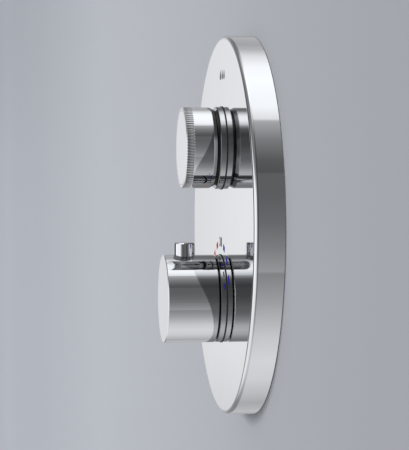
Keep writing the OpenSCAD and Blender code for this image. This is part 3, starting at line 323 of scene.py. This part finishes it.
def moulded(name, dark, light, rough, grain_scale=1400.0, grain=0.12, coat=0.0):
    """A moulded plastic, rubber or ceramic: nearly one tone, with the tool's fine texture."""
    material, tree = new_material(name)
    place = object_place(tree)
    tone = noise(tree, place, scale=60.0)
    skin = noise(tree, place, scale=grain_scale, detail=2.0)
    shade(
        tree,
        Base_Color=ramp(tree, tone, [(0.3, dark), (0.7, light)]),
        Roughness=between(tree, skin, rough * 0.85, rough * 1.15),
        Normal=bump(tree, skin, strength=grain, distance=0.05 * MM),
        Coat_Weight=coat,
        Coat_Roughness=0.1,
    )
    return material


def foam():
    """Closed-cell foam: open pores on a soft grey sheet."""
    material, tree = new_material("grey_foam")
    cells = voronoi(tree, object_place(tree), scale=1100.0)
    shade(
        tree,
        Base_Color=ramp(tree, cells, [(0.05, (0.10, 0.10, 0.105)), (0.6, (0.26, 0.265, 0.27))]),
        Roughness=0.92,
        Normal=bump(tree, cells, strength=0.7, distance=0.3 * MM),
    )
    return material


def fibre():
    """Red vulcanised fibre: short pressed threads in an even brick red."""
    material, tree = new_material("red_fibre")
    threads = noise(tree, object_place(tree), scale=500.0, detail=6.0, stretch=(1.0, 1.0, 5.0))
    shade(
        tree,
        Base_Color=ramp(tree, threads, [(0.3, (0.22, 0.035, 0.025)), (0.7, (0.36, 0.07, 0.05))]),
        Roughness=between(tree, threads, 0.6, 0.8),
        Normal=bump(tree, threads, strength=0.3, distance=0.1 * MM),
    )
    return material


FINISHES = {
    "chrome": chrome(),
    "shaded_recess_chrome": shaded_recess_chrome(),
    "flow_ring_chrome": ring_chrome("flow_ring_chrome", "flow_base_ring"),
    "temperature_ring_chrome": ring_chrome("temperature_ring_chrome", "temperature_base_ring"),
    "satin": satin(),
    "cast_brass": cast_brass(),
    "turned_brass": turned_metal("turned_brass", (0.60, 0.43, 0.17), (0.74, 0.56, 0.27), rough=0.22),
    "zinc_sheet": zinc_sheet(),
    "bright_steel": turned_metal("bright_steel", (0.50, 0.51, 0.52), (0.64, 0.65, 0.66), rough=0.2),
    "dark_steel": turned_metal("dark_steel", (0.05, 0.05, 0.055), (0.10, 0.10, 0.105), rough=0.35),
    "copper": turned_metal("copper", (0.55, 0.25, 0.15), (0.76, 0.40, 0.26), rough=0.24),
    "black_plastic": moulded("black_plastic", (0.006, 0.006, 0.007), (0.014, 0.014, 0.015), rough=0.45),
    "pale_plastic": moulded("pale_plastic", (0.55, 0.54, 0.50), (0.66, 0.65, 0.61), rough=0.42),
    "red_plastic": moulded("red_plastic", (0.36, 0.02, 0.015), (0.46, 0.035, 0.025), rough=0.35),
    "ceramic": moulded(
        "ceramic", (0.72, 0.72, 0.70), (0.82, 0.82, 0.80),
        rough=0.16, grain_scale=2400.0, grain=0.04, coat=0.5,
    ),
    "rubber": moulded(
        "rubber", (0.010, 0.010, 0.011), (0.022, 0.022, 0.023),
        rough=0.6, grain_scale=900.0, grain=0.2,
    ),
    "foam": foam(),
    "fibre": fibre(),
}

NODE_FINISH = {
    "shaded_recess_chrome": "flow_handle",
    "flow_ring_chrome": "flow_base_ring",
    "temperature_ring_chrome": "temperature_base_ring",
    "chrome": "escutcheon temperature_handle safety_button flow_sleeve temperature_sleeve",
    "satin": "flow_cap",
    "cast_brass": "valve_body",
    "turned_brass": "hot_inlet cold_inlet shower_outlet bath_outlet flow_spindle thermostat_spindle "
    "flow_nut thermostat_nut thermostat_plunger temperature_adapter stop_retainers",
    "zinc_sheet": "mounting_bracket",
    "bright_steel": "bracket_screws flow_screw flow_circlip thermostat_circlip button_spring "
    "overload_spring return_spring hot_check_spring cold_check_spring hot_strainer cold_strainer "
    "thermostat_filters hot_stop_plug cold_stop_plug",
    "dark_steel": "temperature_grub_screw",
    "copper": "wax_element",
    "black_plastic": "flow_limit_ring temperature_stop_ring",
    "pale_plastic": "flow_adapter button_carrier flow_housing thermostat_housing hot_check_cage "
    "cold_check_cage regulating_slide",
    "red_plastic": "hot_check_poppet cold_check_poppet",
    "ceramic": "flow_turning_disc flow_fixed_disc",
    "rubber": "sleeve_washers ring_seals flow_seat_seal flow_spindle_oring flow_orings "
    "thermostat_spindle_oring thermostat_orings",
    "foam": "escutcheon_seal",
    "fibre": "port_seals",
}


def finish_nodes():
    """Gives every CAD node its finish through its own material slots."""
    for finish, names in NODE_FINISH.items():
        for name in names.split():
            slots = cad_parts[name].data.materials
            if not len(slots):
                slots.append(None)
            for i in range(len(slots)):
                slots[i] = FINISHES[finish]


# The cover plate, with a mirror-flat face up to its rounded edge

PLATE_R = PLATE_HIGH.x
FACE_THICKNESS, RIM_THICKNESS = 2.2 * MM, 2.0 * MM
EDGE_R, INNER_EDGE_R = 2.5 * MM, 1.0 * MM
PLATE_BACK = PLATE_FRONT + FACE_THICKNESS
INNER_R = PLATE_R - RIM_THICKNESS
FLOW_HOLE_R, TEMPERATURE_HOLE_R = 19.2 * MM, 20.7 * MM
# A small step at the wall in the dark foam finish gives the fine dark line between the rim and the wall:
# partly the seal's edge, partly painted shadow where the rim meets the wall
STEP_DEPTH, STEP_HEIGHT = 0.45 * MM, 0.3 * MM
FOOT_Y, FOOT_R = PLATE_HIGH.y - STEP_DEPTH, PLATE_R - STEP_HEIGHT
# Faces round the plate, round each hole and across a rounded edge
PLATE_STEPS, HOLE_STEPS, EDGE_STEPS = 360, 128, 12
# Corners that agree to a tenth of a micrometre are one corner
CORNERS_PER_METRE = 1e7
# The plate mesh's two material slots
PLATED, SEAL_AND_SHADE = 0, 1
# The triangulation's output type that keeps only triangles inside the outline, and its tolerance
INSIDE_OUTLINE, TOLERANCE = 1, 1e-7


class Skin:
    """A mesh in the making: faces on shared corners, each with its own normals and finish."""

    def __init__(self):
        self.points = []
        self.faces = []
        self.normals = []
        self.finishes = []
        self.numbers = {}

    def add(self, corners, tilts, finish=PLATED):
        """One face, from its corners and the normal at each."""
        face = []
        for corner in corners:
            key = tuple(round(c * CORNERS_PER_METRE) for c in corner)
            if key not in self.numbers:
                self.numbers[key] = len(self.points)
                self.points.append(corner)
            face.append(self.numbers[key])
        self.faces.append(tuple(face))
        self.normals += [tuple(tilt) for tilt in tilts]
        self.finishes.append(finish)


def quarter(radius, y, size, back):
    """Points (radius, y, normal's radial part, normal's y part) round a quarter from the face to the rim."""
    found = []
    for i in range(EDGE_STEPS + 1):
        angle = math.pi / 2 * i / EDGE_STEPS
        out, up = math.sin(angle), math.cos(angle)
        found.append((radius + size * out, y - size * up, back * out, -back * up))
    return found


def circle_at(z, radius, count):
    """Points (x, z) on a circle about a height on the plate's middle line."""
    turns = [math.tau * i / count for i in range(count)]
    return [(radius * math.cos(turn), z + radius * math.sin(turn)) for turn in turns]


def flat_face(outer, holes):
    """Triangles between an outer circle and the holes in it, from its points as (x, z)."""
    points, edges, loop_of = [], [], []
    for number, loop in enumerate([outer] + holes):
        start = len(points)
        points += loop
        loop_of += [number] * len(loop)
        edges += [(start + i, start + (i + 1) % len(loop)) for i in range(len(loop))]
    vectors = [Vector(p) for p in points]
    _, _, faces, sources, _, _ = delaunay_2d_cdt(vectors, edges, [], INSIDE_OUTLINE, TOLERANCE)
    triangles = []
    for face in faces:
        corners = [sources[i][0] for i in face]
        loops = {loop_of[i] for i in corners}
        # A triangle with all its corners on one hole lies in that hole
        if len(loops) > 1 or 0 in loops:
            triangles.append([points[i] for i in corners])
    return triangles


def add_flat_faces(skin, holes):
    """The plate's front and the inside of that front."""
    front = (PLATE_R - EDGE_R, PLATE_FRONT, -1.0)
    inside = (INNER_R - INNER_EDGE_R, PLATE_BACK, 1.0)
    for radius, y, facing in (front, inside):
        for triangle in flat_face(circle_at(0.0, radius, PLATE_STEPS), holes):
            corners = triangle if facing < 0 else triangle[::-1]
            skin.add([(x, y, z) for x, z in corners], [(0.0, facing, 0.0)] * len(corners))


def rim_profiles():
    """The rim's profiles as (points, direction of the corners, finish), from the front's edge inwards."""
    outside = quarter(PLATE_R - EDGE_R, PLATE_FRONT + EDGE_R, EDGE_R, 1.0)
    outside.append((PLATE_R, FOOT_Y, 1.0, 0.0))
    step = [(PLATE_R, FOOT_Y, 0.0, 1.0), (FOOT_R, FOOT_Y, 0.0, 1.0)]
    recess = [(FOOT_R, FOOT_Y, 1.0, 0.0), (FOOT_R, PLATE_HIGH.y, 1.0, 0.0)]
    inside = quarter(INNER_R - INNER_EDGE_R, PLATE_BACK + INNER_EDGE_R, INNER_EDGE_R, -1.0)
    inside.append((INNER_R, PLATE_HIGH.y, -1.0, 0.0))
    foot = [(INNER_R, PLATE_HIGH.y, 0.0, 1.0), (FOOT_R, PLATE_HIGH.y, 0.0, 1.0)]
    # The step and its recess carry the dark foam finish: partly the seal, partly painted shadow at the wall
    outer_profiles = [(outside, -1, PLATED), (step, -1, SEAL_AND_SHADE), (recess, -1, SEAL_AND_SHADE)]
    return outer_profiles + [(inside, 1, PLATED), (foot, 1, PLATED)]


def add_turned(skin, profile, direction, finish):
    """The faces that a profile makes when it is turned about the plate's middle."""
    turns = [math.tau * i / PLATE_STEPS for i in range(PLATE_STEPS + 1)]
    spokes = [(math.cos(turn), math.sin(turn)) for turn in turns]
    for start, end in zip(profile, profile[1:]):
        for first, second in zip(spokes, spokes[1:]):
            ring = ((start, first), (start, second), (end, second), (end, first))
            corners = [(radius * c, y, radius * s) for (radius, y, _, _), (c, s) in ring]
            tilts = [(out * c, back, out * s) for (_, _, out, back), (c, s) in ring]
            skin.add(corners[::direction], tilts[::direction], finish)


def add_hole_wall(skin, hole, z):
    """The edge of one hole through the front, with normals towards the hole's axis."""
    for (x0, z0), (x1, z1) in zip(hole, hole[1:] + hole[:1]):
        to0 = Vector((-x0, 0.0, z - z0)).normalized()
        to1 = Vector((-x1, 0.0, z - z1)).normalized()
        corners = [(x0, PLATE_FRONT, z0), (x1, PLATE_FRONT, z1), (x1, PLATE_BACK, z1), (x0, PLATE_BACK, z0)]
        skin.add(corners, [to0, to1, to1, to0])


def plate_mesh(skin):
    """The finished mesh with its two materials and its own normals."""
    mesh = bpy.data.meshes.new("plate")
    mesh.from_pydata(skin.points, [], skin.faces)
    mesh.materials.append(FINISHES["chrome"])
    mesh.materials.append(FINISHES["foam"])
    for polygon, finish in zip(mesh.polygons, skin.finishes):
        polygon.material_index = finish
    mesh.shade_smooth()
    mesh.normals_split_custom_set(skin.normals)
    return mesh


def build_escutcheon():
    """The cover plate, one closed mesh that stands for the escutcheon."""
    skin = Skin()
    flow_hole = circle_at(FLOW_Z, FLOW_HOLE_R, HOLE_STEPS)
    temperature_hole = circle_at(TEMPERATURE_Z, TEMPERATURE_HOLE_R, HOLE_STEPS)
    add_flat_faces(skin, [flow_hole, temperature_hole])
    for profile, direction, finish in rim_profiles():
        add_turned(skin, profile, direction, finish)
    add_hole_wall(skin, flow_hole, FLOW_Z)
    add_hole_wall(skin, temperature_hole, TEMPERATURE_Z)
    piece = bpy.data.objects.new("plate", plate_mesh(skin))
    bpy.context.scene.collection.objects.link(piece)
    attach(piece, "valve")
    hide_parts("escutcheon")


# Printed marks

INK_LIFT = 0.03 * MM
# The ink's thickness as a share of its lift, so that it stays clear of the face
INK_SHARE = 0.9

# The temperature scale: strokes round the handle at these angles, and the number above it
MARK_RADIUS = 31.0 * MM
DASH_LENGTH, DASH_WIDTH = 5.2 * MM, 3.3 * MM
RED_ANGLES = (112.0, 132.0, 156.0)
BLUE_ANGLES = (68.0, 46.0, 24.0)
DIGIT_HEIGHT, DIGIT_WIDTH, DIGIT_PITCH, PEN = 5.6 * MM, 3.4 * MM, 4.8 * MM, 1.2 * MM
# Half the width and half the height of the path that the pen follows in one of a digit's two bowls
BOWL_X, BOWL_Z = DIGIT_WIDTH / 2 - PEN / 2, (DIGIT_HEIGHT - PEN) / 4
UPPER_BOWL_SHARE = 0.9
NUMBER_RISE = 0.6 * MM

# The row of water drops near the top
DROP_X, DROP_Z, DROP_PITCH, DROP_R = 3.0 * MM, 82.6 * MM, 6.2 * MM, 1.75 * MM
# How far a drop's point is above its middle, in radii
DROP_POINT = 2.1


def ink(name, colour):
    """A screen-printed enamel: slightly uneven and nearly matt."""
    material, tree = new_material(name)
    cover = noise(tree, object_place(tree), scale=600.0)
    dark = tuple(c * 0.8 for c in colour)
    shade(
        tree,
        Base_Color=ramp(tree, cover, [(0.35, dark), (0.65, colour)]),
        Roughness=between(tree, cover, 0.5, 0.6),
        Specular_IOR_Level=0.08,
    )
    return material


def ribbon(path, width, closed=False):
    """Corner points and faces of a flat band that follows a path of (x, z) points on the plate."""
    count = len(path)
    points, faces = [], []
    for i, here in enumerate(path):
        before = path[i - 1] if i or closed else here
        after = path[(i + 1) % count] if i < count - 1 or closed else here
        along = Vector(after) - Vector(before)
        along.normalize()
        side = Vector((-along.y, along.x)) * width / 2
        points += [Vector(here) + side, Vector(here) - side]
    last = count if closed else count - 1
    for i in range(last):
        a, b = 2 * i, 2 * ((i + 1) % count)
        faces.append((a, a + 1, b + 1, b))
    return points, faces


def arc(centre, radius_x, radius_z, start, end, steps=24):
    """Points on an elliptical arc, angles in degrees."""
    found = []
    for i in range(steps + 1):
        angle = math.radians(start + (end - start) * i / steps)
        found.append((centre[0] + radius_x * math.cos(angle), centre[1] + radius_z * math.sin(angle)))
    return found


def printed(name, shapes, material, body="valve"):
    """One thin piece lying on the plate's face, from flat (points, faces) shapes."""
    points, faces = [], []
    for shape_points, shape_faces in shapes:
        start = len(points)
        points += [(p[0], PLATE_FRONT - INK_LIFT, p[1]) for p in shape_points]
        faces += [tuple(start + i for i in f) for f in shape_faces]
    mesh = bpy.data.meshes.new(name)
    mesh.from_pydata(points, [], faces)
    mesh.materials.append(material)
    piece = bpy.data.objects.new(name, mesh)
    bpy.context.scene.collection.objects.link(piece)
    thick = piece.modifiers.new("thickness", "SOLIDIFY")
    thick.thickness = INK_LIFT * INK_SHARE
    thick.offset = 0.0
    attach(piece, body)


def dash(angle):
    """One stroke of the temperature scale, laid along its circle."""
    half = math.degrees(DASH_LENGTH / MARK_RADIUS / 2)
    path = arc((0.0, TEMPERATURE_Z), MARK_RADIUS, MARK_RADIUS, angle - half, angle + half, steps=8)
    return ribbon(path, DASH_WIDTH)


def digit_three(x, z):
    """A 3 of two open bowls."""
    upper = ribbon(arc((x, z + BOWL_Z), BOWL_X, BOWL_Z, 150, -90), PEN)
    lower = ribbon(arc((x, z - BOWL_Z), BOWL_X, BOWL_Z, 90, -150), PEN)
    return [upper, lower]


def digit_eight(x, z):
    """An 8 of two closed bowls, the upper one a little narrower."""
    narrow = BOWL_X * UPPER_BOWL_SHARE
    upper = ribbon(arc((x, z + BOWL_Z), narrow, BOWL_Z, 0, 360)[:-1], PEN, closed=True)
    lower = ribbon(arc((x, z - BOWL_Z), BOWL_X, BOWL_Z, 0, 360)[:-1], PEN, closed=True)
    return [upper, lower]


def drop(x, z):
    """A water drop: round below, drawn to a point above."""
    rim = arc((x, z), DROP_R, DROP_R, 150, 390, steps=20) + [(x, z + DROP_POINT * DROP_R)]
    points = [Vector((x, z))] + [Vector(p) for p in rim]
    count = len(rim)
    return points, [(0, 1 + i, 1 + (i + 1) % count) for i in range(count)]


def print_marks():
    """The number and the strokes of the temperature scale, and the row of drops."""
    black = ink("black_ink", (0.006, 0.006, 0.007))
    red = ink("red_ink", (0.62, 0.02, 0.014))
    blue = ink("blue_ink", (0.005, 0.002, 0.34))
    top = TEMPERATURE_Z + MARK_RADIUS + NUMBER_RISE
    printed("scale_number", digit_three(-DIGIT_PITCH / 2, top) + digit_eight(DIGIT_PITCH / 2, top), black)
    printed("scale_hot", [dash(a) for a in RED_ANGLES], red)
    printed("scale_cold", [dash(a) for a in BLUE_ANGLES], blue)
    printed("water_drops", [drop((i - 1) * DROP_PITCH + DROP_X, DROP_Z) for i in range(3)], black)


# Wall and floor

WALL_LEFT, WALL_RIGHT, WALL_TOP, FLOOR_Z, ROOM_DEPTH = -12.0, 3.0, 3.6, -2.6, 5.0

# Painted light and shade: the wall's colour darkens from far left to the part, as (share of the way, tone),
# over this stretch of X
FADE_LEFT, FADE_RIGHT = -7.5, 0.4
WALL_LIGHT_TONES = [
    (0.0, 0.80), (0.232, 0.82), (0.539, 0.76), (0.694, 0.70), (0.8215, 0.62), (0.888, 0.53), (0.937, 0.465),
    (0.966, 0.412), (0.985, 0.388), (1.0, 0.38),
]
# The painted light and shade also darken it upwards, over this stretch of Z
FADE_LOW, FADE_HIGH = -1.2, 0.8
WALL_LIGHT_LEVELS = [(0.0, 1.10), (0.45, 1.04), (0.6, 1.0), (0.7, 0.95), (0.85, 0.90), (1.0, 0.88)]
WALL_TINT = (0.97, 1.0, 1.06)


def wall_material():
    """Smooth grey render on the front, with painted light and shade fading across it; the back isn't there,
    so the concealed half can be seen.
    """
    material, tree = new_material("wall")
    part = axes(tree, object_place(tree))
    across = rising(tree, part["X"], FADE_LEFT, FADE_RIGHT)
    # Painted light and shade: the wall's colour fades across it and upwards
    tone = ramp(tree, across, [(share, tinted(value, WALL_TINT)) for share, value in WALL_LIGHT_TONES])
    light_level = ramp(tree, rising(tree, part["Z"], FADE_LOW, FADE_HIGH), WALL_LIGHT_LEVELS)
    paint = add_node(tree, "ShaderNodeBsdfDiffuse", None, Color=mix(tree, "MULTIPLY", 1.0, tone, light_level))
    clear = add_node(tree, "ShaderNodeBsdfTransparent")
    side = add_node(tree, "ShaderNodeNewGeometry").outputs["Backfacing"]
    both = add_node(tree, "ShaderNodeMixShader", None, i0=side, i1=paint.outputs[0], i2=clear.outputs[0])
    add_node(tree, "ShaderNodeOutputMaterial", None, Surface=both.outputs[0])
    return material


def floor_material():
    """Pale floor with a faint change of tone."""
    material, tree = new_material("floor")
    cloud = noise(tree, object_place(tree), scale=1.5)
    tone = ramp(tree, cloud, [(0.3, (0.66, 0.67, 0.68)), (0.7, (0.70, 0.71, 0.72))])
    shade(tree, Base_Color=tone, Roughness=0.8)
    return material


def plane(name, corners, material):
    """A stage rectangle that polished surfaces don't see."""
    mesh = bpy.data.meshes.new(name)
    mesh.from_pydata(corners, [], [(0, 1, 2, 3)])
    mesh.materials.append(material)
    piece = bpy.data.objects.new(name, mesh)
    bpy.context.scene.collection.objects.link(piece)
    piece.visible_glossy = False
    return piece


def build_wall():
    """The wall that the part is set in."""
    low_left, low_right = (WALL_LEFT, 0, FLOOR_Z), (WALL_RIGHT, 0, FLOOR_Z)
    high_right, high_left = (WALL_RIGHT, 0, WALL_TOP), (WALL_LEFT, 0, WALL_TOP)
    wall = plane("wall", [low_left, low_right, high_right, high_left], wall_material())
    wall.visible_shadow = False


def build_floor():
    """The floor on both sides of the wall."""
    near_left, near_right = (WALL_LEFT, -ROOM_DEPTH, FLOOR_Z), (WALL_RIGHT, -ROOM_DEPTH, FLOOR_Z)
    far_right, far_left = (WALL_RIGHT, ROOM_DEPTH, FLOOR_Z), (WALL_LEFT, ROOM_DEPTH, FLOOR_Z)
    plane("floor", [near_left, near_right, far_right, far_left], floor_material())


# Reflectors

# Two rings round the part, as (angle above +X in degrees, brightness), one just behind the wall's plane and
# one just before it. The stops are soft boxes and dark flags with even fades between them. They were set
# after the light and dark bands on the photograph's chrome, and adjusted against renders.
BACK_REFLECTORS = [
    (-180, 0.45), (-165, 0.4), (-150, 0.66), (-130, 0.6), (-118, 0.77), (-100, 1.0), (-84, 1.07),
    (-66, 0.93), (-42, 0.54), (-24.5, 0.36), (-24, 0.5), (-10, 0.33), (4, 0.23), (20, 0.18), (32.5, 0.18),
    (33, 0.13), (41, 0.16), (54, 0.32), (66, 0.62), (67, 1.18), (76, 1.5), (98, 1.63), (110, 1.55),
    (123, 1.15), (132, 0.7), (141, 0.55), (158, 0.57), (168, 0.37), (180, 0.45),
]
FRONT_REFLECTORS = [
    (-180, 0.86), (-172, 0.86), (-158, 0.34), (-136, 0.32), (-119, 0.49), (-103, 0.74), (-87, 0.86),
    (-71, 0.76), (-55, 0.45), (-38, 0.26), (-24.5, 0.2), (-24, 0.22), (-5, 0.15), (10, 0.11), (32.5, 0.1),
    (33, 0.08), (43, 0.1), (57, 0.19), (66, 0.55), (67, 0.85), (75, 1.36), (85, 1.8), (97, 1.8), (105, 1.66),
    (121, 0.83), (131, 0.34), (145, 0.24), (158, 0.34), (172, 0.86), (180, 0.86),
]
# Out in the room, as (angle from the left, past the user, to the right in degrees, brightness)
ROOM_REFLECTORS = [
    (0, 1.16), (17, 1.16), (23, 0.06), (62, 0.05), (70, 1.6), (80, 1.65), (90, 1.42), (127, 1.42),
    (143, 0.3), (158, 0.2), (180, 0.18),
]
BEHIND_TONE, FLOOR_TONE, CEILING_TONE, LEFT_PANEL = 0.95, 1.25, 0.3, 0.7
REFLECTOR_TINT = (0.985, 0.998, 1.02)
TENT_RADIUS = 8.0
TENT_SEGMENTS, TENT_RINGS = 96, 48

# Where one part of the tent goes over into the next, as (from, to) in X, Y or Z of a direction of length 1
BACK_TO_FRONT_Y = (0.04, -0.04)
ROOM_TO_BEHIND_Y = (-0.1, 0.1)
RING_TO_POLES_Y = (0.35, 0.6)
PANELS_TO_FLOOR_Z = (-0.25, -0.5)
PANELS_TO_CEILING_Z = (0.25, 0.45)
LEFT_PANEL_X = (-0.94, -0.98)
LEFT_PANEL_Y = (-0.13, -0.33)


def reflectors(tree, turn, stops, start, span):
    """Reflectors as a ramp over an angle that starts at start and goes on for span degrees."""
    return ramp(tree, turn, [((angle - start) / span, tinted(v, REFLECTOR_TINT)) for angle, v in stops])


def tent_ring(tree, part):
    """The two rings of reflectors round the part, about the wall's normal."""
    angle = maths(tree, "ARCTAN2", part["Z"], part["X"])
    turn = rising(tree, angle, -math.pi, math.pi)
    back = reflectors(tree, turn, BACK_REFLECTORS, -180.0, 360.0)
    front = reflectors(tree, turn, FRONT_REFLECTORS, -180.0, 360.0)
    return blend(tree, rising(tree, part["Y"], *BACK_TO_FRONT_Y), back, front)


def tent_room(tree, part):
    """The room's panels, with a bright floor below them and a dim ceiling above."""
    towards_user = maths(tree, "MULTIPLY", part["Y"], -1.0)
    towards_left = maths(tree, "MULTIPLY", part["X"], -1.0)
    swing = maths(tree, "ARCTAN2", towards_user, towards_left)
    panels = reflectors(tree, rising(tree, swing, 0.0, math.pi), ROOM_REFLECTORS, 0.0, 180.0)
    room = blend(tree, rising(tree, part["Z"], *PANELS_TO_FLOOR_Z), panels, grey(FLOOR_TONE))
    return blend(tree, rising(tree, part["Z"], *PANELS_TO_CEILING_Z), room, grey(CEILING_TONE))


def left_panel(tree, part):
    """The strength of a panel far to the left that brightens away from the wall."""
    far = rising(tree, part["X"], *LEFT_PANEL_X)
    away = rising(tree, part["Y"], *LEFT_PANEL_Y)
    return maths(tree, "MULTIPLY", far, maths(tree, "MULTIPLY", away, LEFT_PANEL))


def tent_material():
    """The rings near the wall's plane, the room before it and a plain tone behind it."""
    material, tree = new_material("reflector_tent")
    direction = add_node(tree, "ShaderNodeVectorMath", {"operation": "NORMALIZE"}, i0=object_place(tree))
    part = axes(tree, direction.outputs[0])
    side = rising(tree, part["Y"], *ROOM_TO_BEHIND_Y)
    poles = blend(tree, side, tent_room(tree, part), grey(BEHIND_TONE))
    lean = maths(tree, "ABSOLUTE", part["Y"])
    whole = blend(tree, rising(tree, lean, *RING_TO_POLES_Y), tent_ring(tree, part), poles)
    lit = mix(tree, "ADD", left_panel(tree, part), whole, grey(1.0))
    glow = add_node(tree, "ShaderNodeEmission", None, Color=lit, Strength=1.0)
    add_node(tree, "ShaderNodeOutputMaterial", None, Surface=glow.outputs[0])
    return material


def build_tent():
    """A closed shell of reflectors that only polished surfaces see."""
    bpy.ops.mesh.primitive_uv_sphere_add(segments=TENT_SEGMENTS, ring_count=TENT_RINGS, radius=TENT_RADIUS)
    tent = bpy.context.object
    tent.name = "reflector_tent"
    tent.data.materials.append(tent_material())
    tent.visible_camera = False
    tent.visible_diffuse = False
    tent.visible_transmission = False
    tent.visible_shadow = False
    tent.visible_volume_scatter = False


# Lamps and world

def add_lamp(name, place, target, size, power):
    """A square soft box that lights matt surfaces; polished ones see the reflectors instead."""
    data = bpy.data.lights.new(name, "AREA")
    data.shape = "SQUARE"
    data.size = size
    data.energy = power
    lamp = bpy.data.objects.new(name, data)
    lamp.location = place
    lamp.rotation_euler = (Vector(target) - Vector(place)).to_track_quat("-Z", "Y").to_euler()
    lamp.visible_glossy = False
    bpy.context.scene.collection.objects.link(lamp)


def build_world():
    """An even, faintly cool light from all round."""
    world = bpy.data.worlds.new("studio")
    world.use_nodes = True
    tree = world.node_tree
    tree.nodes.clear()
    light = add_node(tree, "ShaderNodeBackground", None, Color=(0.95, 0.97, 1.0, 1.0), Strength=0.62)
    add_node(tree, "ShaderNodeOutputWorld", None, Surface=light.outputs[0])
    bpy.context.scene.world = world


def build_studio():
    """The wall, the floor and the light."""
    build_wall()
    build_floor()
    build_tent()
    add_lamp("key_lamp", place=(0.25, -2.0, 0.6), target=(0, 0, 0), size=0.8, power=21.0)
    add_lamp("back_lamp", place=(0.9, 2.0, 1.2), target=(0, 0.03, 0), size=1.2, power=20.0)
    build_world()


# Camera

CAMERA_PLACE = (859.7 * MM, -154.08 * MM, 45.93 * MM)
# In degrees: towards the wall from straight along -X, upwards, and anticlockwise seen from behind the camera
CAMERA_YAW, CAMERA_PITCH, CAMERA_ROLL = 8.53, -3.02, 0.22
SENSOR_MM = 36.0
# The distance to the picture plane in the photograph's pixels, and its height
FOCAL_PIXELS, PHOTO_HEIGHT = 1560.6, 450


def build_camera():
    """The photograph's viewpoint: close beside the wall, almost in line with the plate."""
    yaw, pitch = math.radians(CAMERA_YAW), math.radians(CAMERA_PITCH)
    ahead = Vector((-math.cos(yaw) * math.cos(pitch), math.sin(yaw) * math.cos(pitch), math.sin(pitch)))
    roll = Quaternion((0.0, 0.0, 1.0), math.radians(CAMERA_ROLL))
    data = bpy.data.cameras.new("camera")
    data.lens = FOCAL_PIXELS / PHOTO_HEIGHT * SENSOR_MM
    data.sensor_width = SENSOR_MM
    camera = bpy.data.objects.new("camera", data)
    camera.location = CAMERA_PLACE
    camera.rotation_mode = "QUATERNION"
    camera.rotation_quaternion = ahead.to_track_quat("-Z", "Y") @ roll
    bpy.context.scene.collection.objects.link(camera)
    bpy.context.scene.camera = camera


finish_nodes()
build_escutcheon()
print_marks()
build_studio()
build_camera()

bpy.context.scene.view_settings.view_transform = "Standard"
